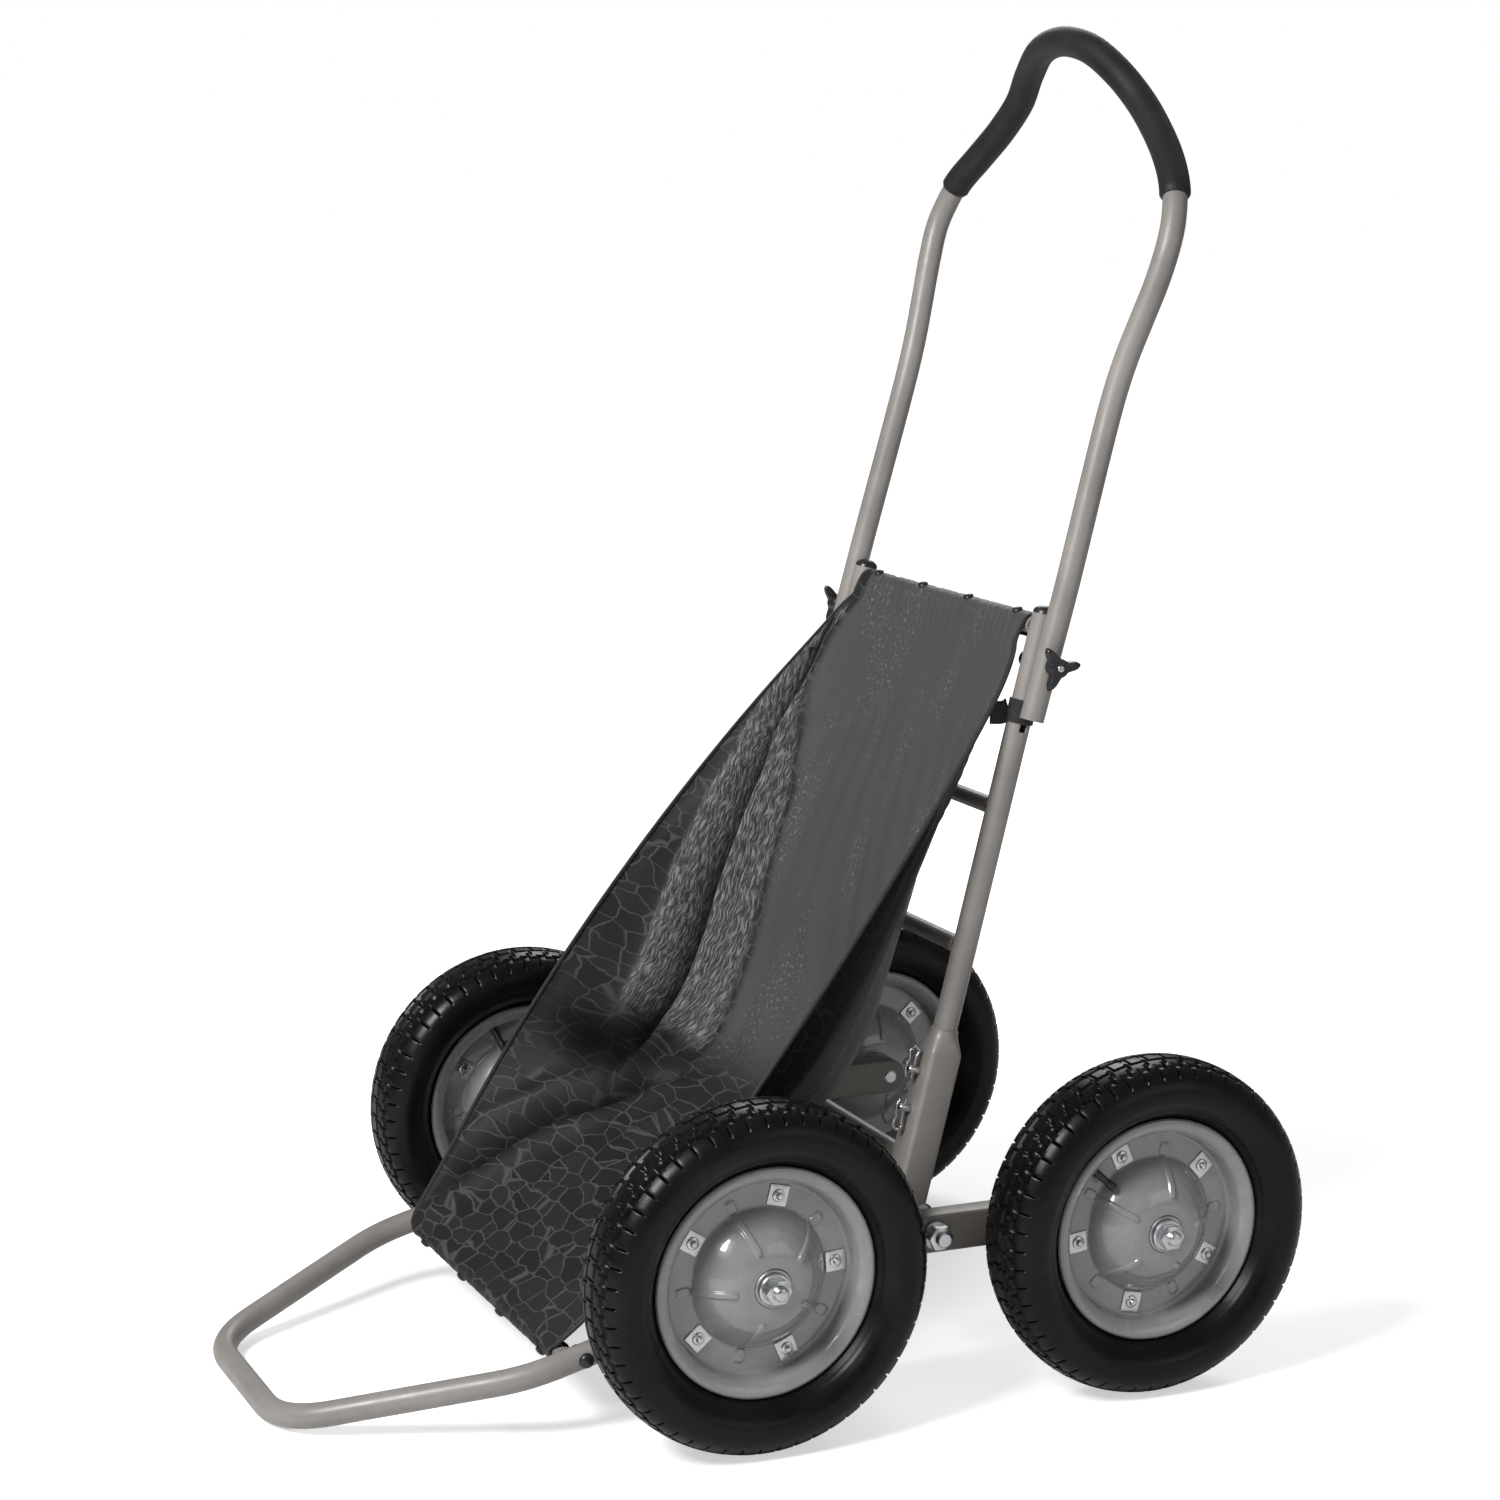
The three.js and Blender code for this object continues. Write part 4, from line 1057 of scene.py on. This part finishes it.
def rim_half(hub, out, first):
    """Dome, ring, well and lip as one section; its back follows a sheet's thickness behind the face."""
    radius = np.linspace(0.0240, 0.0706, 24)
    dome_face = np.stack([radius, dome(radius)], -1)
    back = np.linspace(0.0680, 0.0235, 10)
    dome_back = np.stack([back, dome(back + 0.0016) - 0.0024], -1)
    ring = np.stack([np.linspace(0.0745, 0.0945, 17), np.full(17, 0.0027)], -1)
    well = smooth_route(RIM_WELL[2:-1], 3)
    section = np.vstack([RIM_FACE, dome_face, RIM_WELL[:2], ring, well, RIM_WELL[-1:], dome_back,
                         [[0.020, 0.0357]]])
    spread = np.concatenate([np.linspace(-0.13, 0.13, 29), np.linspace(0.18, SECTOR - 0.18, 14)])
    angle = (first + SECTOR / 2 + np.arange(BOLTS)[:, None] * SECTOR + spread[None]).ravel()
    front = np.arange(len(section)) < 2 + len(dome_face) + 2 + len(ring)
    rise = pressed(angle[:, None], section[None, :, 0], first + SECTOR / 2) * front
    angles, radii = np.broadcast_arrays(angle[:, None], section[None, :, 0])
    return skin(wheel_points(hub, out, angles, radii, section[None, :, 1] + rise), ring_u=True, ring_v=True)


print("dome stands", round(float(dome(0.0225)), 4), "out; ribs reach", round(RIB_MIDDLE + RIB_HALF, 4))

# %% [markdown]
# Five bolts clamp the two halves, with a square washer under each end. The hub is a plain steel
# sleeve on the axle. The valve stem leans from the rim's well towards the axle: the rear wheels show
# theirs on the outside, and the front wheels have it inside.

# %% Washers, bolts, hubs and valves
WASHER_HALF = 0.0106


def rim_bolts(hub, first):
    """Five square washers on each face of the wheel, each under a nut and a bolt end."""
    surfaces = []
    for bolt in range(BOLTS):
        angle = np.array(first + bolt * SECTOR)
        spoke = math.cos(angle) * Y + math.sin(angle) * Z
        for face in (X, -X):
            start = hub + BOLT_RING * spoke + 0.0028 * face
            plate = rounded_square(WASHER_HALF, 0.0012, 4)
            surfaces.append(stacked(plate, rounded_levels(0.0017, 0.0005, WASHER_HALF), start, face, spoke))
            boss = [(0, 0), (0.0062, 0), (0.0066, 0.0006), (0.0062, 0.0016), (0.0050, 0.0022),
                    (0.0036, 0.0024), (0.0034, 0.0042), (0.0026, 0.0052), (0.0012, 0.0056), (0, 0.0057)]
            surfaces.append(turned_piece(boss, start + 0.0016 * face, face, 24))
    return together(*surfaces)


def valve(hub, out, angle, inward=1):
    """A rubber stem from the rim's well towards the axle, and a ribbed cap on its tip."""
    spoke = math.cos(angle) * Y + math.sin(angle) * Z
    base = hub + 0.1002 * spoke + inward * 0.0085 * out
    axis = unit(-0.030 * spoke + inward * 0.011 * out)
    stem = [(0, -0.001), (0.0062, -0.001), (0.0066, 0.001), (0.0052, 0.003), (0.0042, 0.006),
            (0.0036, 0.021), (0, 0.021)]
    cap = [(0, 0.0208), (0.0040, 0.0208), (0.0043, 0.0214), (0.0043, 0.0300), (0.0036, 0.0316), (0, 0.0318)]
    return together(turned_piece(stem, base, axis, 32), turned_piece(cap, base, axis, 12))


for (end, side), hub in WHEEL.items():
    tag, body, out = f"{end}_{side}", f"wheel_{end}_{side}", SIDES[side] * X
    first = BOLT_TURN[end]
    piece(f"block_tyre_{tag}", tyre(hub, out), body, "tyre", [f"tyre_{tag}"], sharp=50)
    piece(f"rim_outer_{tag}", rim_half(hub, out, first), body, "rim_paint", [f"outer_rim_{tag}"], sharp=50)
    piece(f"rim_inner_{tag}", rim_half(hub, -out, first), body, "rim_paint", [f"inner_rim_{tag}"], sharp=50)
    piece(f"rim_bolts_{tag}", rim_bolts(hub, first), body, "zinc")
    hub_sleeve = [(AXLE + CLEARANCE, -0.039), (0.0095, -0.040), (0.0187, -0.040), (0.0195, -0.0392),
                  (0.0195, 0.0392), (0.0187, 0.040), (0.0095, 0.040), (AXLE + CLEARANCE, 0.039)]
    piece(f"hub_skin_{tag}", turned_piece(hub_sleeve, hub, X, hollow=True), body, "hub_steel",
          [f"hub_{tag}"])
    valve_angle = math.radians(136.5) if end == "rear" else first + 1.5 * SECTOR
    piece(f"valve_{tag}", valve(hub, out, valve_angle, 1 if end == "rear" else -1), body, "black_plastic")
print("tyre faces:", made["block_tyre_front_left"], "rim faces:", made["rim_outer_front_left"])

# %% [markdown]
# ## Handle, grip and clamps
# The handle is one bent tube: straight legs against the uprights, a flare, and an arch. Its route
# repeats the design's points. The foam sleeve is pushed over the arch; its ends are rounded. Each leg
# is clamped by a bolt with a three-wing knob, and swings back about that bolt when it is loose.

# %% Handle
HANDLE_HALF = np.array([
    (231, 121, 695), (231, 136, 752), (231, 156, 828), (227, 205, 1018), (231, 217, 1062),
    (239, 228, 1100), (248, 240, 1142), (251, 250, 1180), (246, 257, 1203), (231, 266, 1232),
    (202, 276, 1260), (165, 283, 1290), (127, 284, 1321), (93, 276, 1350), (52, 267, 1374),
    (0, 263, 1383)]) / 1000
HANDLE_STEPS = 40
GRIP_FIRST_STEP = 13
GRIP_RADIUS = 0.016

handle_points = np.vstack([HANDLE_HALF, HANDLE_HALF[-2::-1] * [-1, 1, 1]]) + [0, PIVOT[1], 0]
handle_route = spaced(smooth_route(handle_points, 24), 20 * HANDLE_STEPS + 1)
piece("handle_skin", tube(handle_route[::3], TUBE, TUBE_WALL, Y, 40), "handle", "frame_paint",
      ["handle_tube"])

grip_route = handle_route[20 * GRIP_FIRST_STEP:20 * (HANDLE_STEPS - GRIP_FIRST_STEP) + 1:2]
along = np.concatenate([[0], np.linalg.norm(np.diff(grip_route, axis=0), axis=1).cumsum()])
from_end = np.minimum(along, along[-1] - along)
rounding = np.sqrt(1 - np.clip(1 - from_end / 0.003, 0, 1) ** 2)
grip_radius = TUBE + 0.0008 + (GRIP_RADIUS - TUBE - 0.0008) * rounding
outer = swept(grip_route, grip_radius[:, None, None] * circle(1, 40), Y)
inner = swept(grip_route, circle(TUBE + CLEARANCE, 40), Y)
grip_skin = skin(np.concatenate([outer, inner[::-1]]), ring_u=True, ring_v=True)
piece("foam_grip", grip_skin, "handle", "grip_foam", ["handle_grip"])
print("grip length", round(float(along[-1]), 3))

# %% Clamp bolts and knobs
KNOB_FACE = 0.231 + TUBE + 0.0006
WINGS = 3


def clamp_knob(start, out, turn):
    """A hub whose radius swells into three thin wings; the swell is a high power of a cosine."""
    angle = np.linspace(0, 2 * np.pi, 180, endpoint=False)[:, None]
    swell = ((1 + np.cos(WINGS * (angle - turn))) / 2) ** 4
    profile = np.array([
        (0.0043, 0, 0), (0.0085, 0, 0), (0.0095, 0.0008, 0), (0.0098, 0.006, 0.0),
        (0.0100, 0.0078, 0.55), (0.0101, 0.0088, 0.9), (0.0101, 0.0105, 1), (0.0100, 0.0135, 0.97),
        (0.0098, 0.0158, 0.86), (0.0094, 0.0168, 0.7), (0.0086, 0.0172, 0.35), (0.0070, 0.0174, 0),
        (0.0043, 0.0174, 0)])
    radius = profile[None, :, 0] + 0.0152 * swell * profile[None, :, 2]
    spoke = np.cos(angle) * Y + np.sin(angle) * Z
    points = start + radius[..., None] * spoke[:, None] + profile[None, :, 1, None] * out
    return skin(points, ring_u=True, ring_v=True)


for side, sign in SIDES.items():
    out = sign * X
    inboard = FOLD + (UPRIGHT_X - TUBE - CLEARANCE) * out
    length = KNOB_FACE + 0.018 - UPRIGHT_X + TUBE + CLEARANCE
    shank = threaded_end(inboard, out, 0.004, length + 0.001, 0.001)
    piece(f"clamp_stud_{side}", shank, "frame", "zinc", [f"clamp_bolt_{side}"])
    button = [(0, 0), (0.0088, 0), (0.0092, -0.001), (0.0086, -0.003), (0.0066, -0.0046), (0.003, -0.0054),
              (0, -0.0056)]
    piece(f"bolt_cover_{side}", turned_piece(button, inboard, out), "frame", "black_plastic")
    start = FOLD + KNOB_FACE * out
    piece(f"wing_knob_{side}", clamp_knob(start, out, math.radians(5)), f"clamp_knob_{side}",
          "black_plastic", [f"clamp_knob_{side}"])
print("knob face at", round(KNOB_FACE, 4))

# %% [markdown]
# A plug closes the rear end of each base tube. A plain head covers each end of the bolt through each
# side run, close to the hem bar. Both are turned profiles with rounded rims.

# %% Base plugs and bolt heads
BASE_BOLT_ALONG = 0.380
for side, sign in SIDES.items():
    rear = on_base(sign * BASE_X, BASE_REAR)
    plug = [(0, -0.010), (0.0106, -0.010), (0.0106, 0.0002), (0.0129, 0.0002), (0.0129, 0.0016),
            (0.0115, 0.0034), (0.007, 0.0046), (0, 0.005)]
    piece(f"base_plug_{side}", turned_piece(plug, rear, -DOWN_BASE), "frame", "black_plastic")
    bolt = [(0, 0), (0.0078, 0), (0.0080, 0.0012), (0.0070, 0.0036), (0.0045, 0.0054), (0, 0.0060)]
    surfaces = []
    for way in (1, -1):
        start = on_base(sign * (BASE_X + way * TUBE * 0.97), BASE_BOLT_ALONG)
        surfaces.append(turned_piece(bolt, start, way * sign * X))
    piece(f"base_bolt_{side}", together(*surfaces), "frame", "black_plastic")
print("base plugs at", BASE_REAR, "and bolt heads at", BASE_BOLT_ALONG, "along the base")

# %% [markdown]
# ## The sling
# One sheet of mesh cloth hangs between the top bar and the hem bar. Its middle sags into a belly, and
# its long edges run from bar to bar and flare outwards between them. Each point is the edge line and
# the belly line mixed by a power of the distance across; the drag folds are valleys along lines on
# the sheet. A formula is used rather than a simulation, because both ends are held and the lines of
# the folds are known. The far edge hangs a little further forward than the near one.

# %% Sling lines
SLING_HALF = (0.187, 0.209)
BELLY_POWER = 3.3
FLARE, FLARE_START = 0.050, 0.03
FAR_LIFT = 0.032
CLOTH = 0.0016
top_bar = on_lean(0, TOP_BAR_HEIGHT)
hem_bar = on_base(0, HEM_ALONG)
BELLY = np.array([
    (108, 690), (72, 575), (38, 455), (8, 350), (-45, 272), (-130, 235), (-240, 178)]) / 1000
belly_points = np.vstack([top_bar[1:], BELLY + [PIVOT[1], 0], hem_bar[1:]])
DOWN_STEPS, ACROSS_STEPS = 190, 196
down = np.linspace(0, 1, DOWN_STEPS)
even = np.linspace(-1, 1, ACROSS_STEPS)
across = np.sin(even * np.pi / 2) * 0.35 + even * 0.65
print("top bar at", top_bar.round(3), "hem bar at", hem_bar.round(3))


def sling_base(u, v):
    """Points of the smooth sling, u from -1 to 1 across and v from 0 to 1 down, as grids."""
    belly = spaced(smooth_route(belly_points, 40), 1001)
    at = np.linspace(0, 1, 1001)
    belly = np.stack([np.interp(v, at, belly[:, k]) for k in (0, 1)], -1)
    edge = top_bar[1:] + v[..., None] * (hem_bar - top_bar)[1:]
    hang = (1 - np.abs(u) ** BELLY_POWER)[..., None]
    swing = np.sin(np.pi * np.clip((v - FLARE_START) / (1 - FLARE_START), 0, 1)) ** 0.6
    half = SLING_HALF[0] + v * (SLING_HALF[1] - SLING_HALF[0]) + FLARE * swing
    lift = FAR_LIFT * swing * (1 - u) / 2
    edge = edge - lift[..., None] * [1, 0]
    return np.concatenate([(u * half)[..., None], edge + (belly - edge) * hang], -1)


# %% Drag folds
def fold_line(v, *stops):
    """Where a fold crosses the sheet at each place down it, through (down, across) stops."""
    places, values = zip(*stops)
    return np.interp(v, places, values)


def valley(gap, width):
    """A sharp-bottomed valley with soft shoulders on both sides."""
    return np.exp(-np.abs(gap) / width) - 0.45 * np.exp(-((np.abs(gap) - 2.2 * width) / (1.6 * width)) ** 2)


def between(v, start, end, soft=0.06):
    """1 between two places down the sheet, fading to 0 outside them."""
    return ease((v - start) / soft) * ease((end - v) / soft)


FAR_FOLD = ((0.0, -1.02), (0.11, -0.93), (0.255, -0.86), (0.36, -0.83), (0.43, -0.82),
            (0.54, -0.78), (0.60, -0.76), (0.68, -0.70), (0.76, -0.60))
CORNER_FOLD = ((0.60, -0.40), (0.69, -0.55), (0.75, -0.64), (0.80, -0.74), (0.86, -0.82),
               (0.95, -0.95), (1.0, -1.02))
SPREAD_FOLD = ((0.08, -0.93), (0.16, -0.84), (0.27, -0.71), (0.43, -0.65), (0.51, -0.62),
               (0.62, -0.54), (0.72, -0.44))
# Each fold is its line, its depth, its width across, and where it starts, ends and fades.
FOLDS = ((FAR_FOLD, 0.021, 0.024, (0.07, 0.74, 0.12)),
         (CORNER_FOLD, 0.020, 0.05, (0.62, 0.99, 0.08)),
         (SPREAD_FOLD, 0.005, 0.03, (0.08, 0.70, 0.14)))
MIRROR_STRENGTH = 0.22


def fold_depth(u, v):
    """Depth behind the smooth sheet in metres: valleys on both halves, long waves, ripple and gathers."""
    total = np.zeros_like(u)
    for mirror, strength in ((1, 1.0), (-1, MIRROR_STRENGTH)):
        for stops, depth, width, span in FOLDS:
            gap = mirror * u - fold_line(v, *stops)
            total += strength * depth * valley(gap, width) * between(v, *span)
    ripple = np.sin(38 * u + 5 * np.sin(7 * v + 2 * u)) * 0.0012 * between(v, 0.06, 0.9, 0.2)
    long_waves = 0.0035 * np.sin(11 * u + 3 * v + 1.4 * np.sin(5 * v)) * between(v, 0.15, 0.95, 0.25)
    gathers = 0.0011 * np.sin(70 * u + 4 * np.sin(9 * u)) * (np.exp(-v / 0.035) + np.exp((v - 1) / 0.05))
    held = ease((1 - np.abs(u)) / 0.05)
    return (total + long_waves + ripple) * held + gathers


print("folds:", len(FOLDS), "deepest", max(depth for _, depth, _, _ in FOLDS), "m")

# %% Sling surface
u, v = np.meshgrid(across, down)
base = sling_base(u, v)
slope = unit(np.gradient(base[..., 1:], axis=0))
front = np.stack([np.zeros_like(u), slope[..., 1], -slope[..., 0]], -1)
TOP_SLEEVE, HEM_SLEEVE = 0.0120, 0.0104
proud = TOP_SLEEVE * np.exp(-(v / 0.05) ** 1.5) + HEM_SLEEVE * np.exp(-(((1 - v) / 0.06) ** 1.5))
sheet = base + front * (proud - fold_depth(u, v))[..., None]


def sleeve(centre, row, sign, radius, turn=math.radians(262), steps=22):
    """Rows wrapped round a bar, from where the sheet leaves it to the seam behind it."""
    start = np.arctan2(row[:, 2] - centre[2], row[:, 1] - centre[1])
    angle = start[None] + sign * np.linspace(0, turn, steps)[1:, None]
    reach_out = np.hypot(row[:, 2] - centre[2], row[:, 1] - centre[1])[None]
    pucker = 0.0005 * np.sin(95 * across + 3 * np.sin(23 * across))[None] * np.sin(angle * 1.5)
    distance = radius + (reach_out - radius) * np.exp(-np.abs(angle - start[None]) / 0.4) + pucker
    return np.stack([np.broadcast_to(row[:, 0], angle.shape), centre[1] + distance * np.cos(angle),
                     centre[2] + distance * np.sin(angle)], -1)


top_rows = sleeve(top_bar, sheet[0], -1, TOP_SLEEVE)[::-1]
hem_rows = sleeve(hem_bar, sheet[-1], 1, HEM_SLEEVE)
cloth = np.concatenate([top_rows, sheet, hem_rows])
step_across = np.linalg.norm(np.diff(cloth, axis=1), axis=2)
arc_across = np.concatenate([np.zeros((len(cloth), 1)), step_across.cumsum(1)], 1)
arc_across -= arc_across[:, -1:] / 2
step_down = np.linalg.norm(np.diff(cloth, axis=0), axis=2).mean(1)
arc_down = np.concatenate([[0], step_down.cumsum()])

# %% Sling piece
corner_uv = grid_uv(cloth)
rows_at = np.rint(corner_uv[:, 0] * (len(cloth) - 1)).astype(int)
cols_at = np.rint(corner_uv[:, 1] * (cloth.shape[1] - 1)).astype(int)
cloth_uv = np.stack([arc_across[rows_at, cols_at], arc_down[rows_at]], -1)
sling = piece("sling_cloth", skin(cloth), "frame", "mesh_fabric", ["sling"], sharp=80, uv=cloth_uv)

print("cloth faces:", made["sling_cloth"])

# %% [markdown]
# The zone map follows the folds. Streaks fill the band between the far fold and its neighbour, the
# plain middle lies beyond it, and shade is painted along the creases, in the low hollow and down the
# near flank. Each share is a product of smooth steps or a bell across a fold's line.

# %% Sling zones
POOL_AT, POOL_SIZE = (-0.80, 0.672), (0.24, 0.062)
whole_v = np.concatenate([np.zeros(len(top_rows)), down, np.ones(len(hem_rows))])[:, None] + 0 * across
whole_u = across[None] + 0 * whole_v
past_far = whole_u - fold_line(whole_v, *FAR_FOLD)
past_spread = whole_u - fold_line(whole_v, *SPREAD_FOLD)
past_corner = whole_u - fold_line(whole_v, *CORNER_FOLD)
streaked = ease((past_far + 0.10) / 0.015) * ease(-past_spread / 0.015)
streaked = streaked * between(whole_v, 0.03, 0.62, 0.03)
mirrored = ease((0.10 - whole_u - fold_line(whole_v, *FAR_FOLD)) / 0.02)
plain = ease(past_spread / 0.06) * mirrored * ease((0.66 - whole_v) / 0.12)
# Painted shade masks: the far crease, the low hollow, the lower corner fold and the near flank.
crease = np.exp(-(past_far / 0.02) ** 2) * between(whole_v, 0.03, 0.66, 0.04)
pool_gaps = ((whole_u - POOL_AT[0]) / POOL_SIZE[0], (whole_v - POOL_AT[1]) / POOL_SIZE[1])
pool = np.exp(-pool_gaps[0] ** 2 - pool_gaps[1] ** 2)
lower = np.exp(-(past_corner / 0.05) ** 2) * between(whole_v, 0.64, 1.0, 0.1)
flank = 0.85 * ease((whole_u - 0.80) / 0.08) * between(whole_v, 0.1, 0.95, 0.2)
shaded = np.clip(crease + pool + 0.7 * lower + flank, 0, 1)
zones = np.stack([streaked, shaded, plain, np.ones_like(plain)], -1).astype(np.float32)
sling.data.attributes.new("zones", "FLOAT_COLOR", "POINT").data.foreach_set("color", zones.ravel())
thickness = sling.modifiers.new("cloth", "SOLIDIFY")
thickness.thickness, thickness.offset = CLOTH, 0
print("shares of streaked, shaded and plain cloth:", zones[..., :3].mean((0, 1)).round(2))

# %% [markdown]
# A folded tape binds each long edge, snap studs close both hems, and short straps tie the edges to
# the uprights. A strap is a flat ribbon: a thin rectangle carried along its route.

# %% Bindings, studs and straps
def ribbon(route, width, thickness, up):
    """A flat band along a route; width lies across it, thickness towards up."""
    section = rounded_square(0.5, 0.12, 4) * [width, thickness]
    return skin(capped(swept(route, section, up)), ring_v=True)


STRAP_LEVEL, STRAP_DOWN = 0.700, 0.122
for side, sign in SIDES.items():
    column = -1 if sign > 0 else 0
    edge_line = cloth[len(top_rows) - 6:len(top_rows) + DOWN_STEPS + 6, column]
    tape = ribbon(edge_line - 0.001 * sign * X, 0.005, 0.0028, UP_LEAN - 0.3 * Y)
    piece(f"edge_tape_{side}", tape, "frame", "webbing")
    post = on_lean(sign * UPRIGHT_X, (STRAP_LEVEL - PIVOT[2]) / math.cos(LEAN))
    inside, outside = TUBE + CLEARANCE, TUBE + 0.0021
    collar = [(inside, -0.012), (outside, -0.012), (outside, 0.012), (inside, 0.012)]
    at_edge = sling_base(np.array([sign * 1.0]), np.array([STRAP_DOWN]))[0]
    tucked = at_edge - 0.014 * sign * X + 0.010 * Y
    leaves = post - 0.0138 * BACK_LEAN - 0.004 * sign * X
    tail = smooth_route([leaves, (post + tucked) / 2 - 0.004 * Y, tucked], 8)
    strap = together(turned_piece(collar, post, UP_LEAN, hollow=True), ribbon(tail, 0.0018, 0.024, UP_LEAN))
    piece(f"tie_strap_{side}", strap, "frame", "webbing")

stud = [(0, 0), (0.0056, 0), (0.0058, 0.0008), (0.0050, 0.0022), (0.0030, 0.0032), (0, 0.0035)]
hems = (("top", top_bar, TOP_SLEEVE, SLING_HALF[0], math.radians(105)),
        ("hem", hem_bar, HEM_SLEEVE, SLING_HALF[1], math.radians(225)))
for name, centre, radius, half, angle in hems:
    out = math.cos(angle) * Y + math.sin(angle) * Z
    studs = [turned_piece(stud, centre + share * half * X + (radius + CLOTH / 2) * out, out, 24)
             for share in (-0.85, -0.28, 0.28, 0.85)]
    piece(f"{name}_studs", together(*studs), "frame", "black_plastic")

print("pieces:", len(made), "faces:", sum(made.values()))
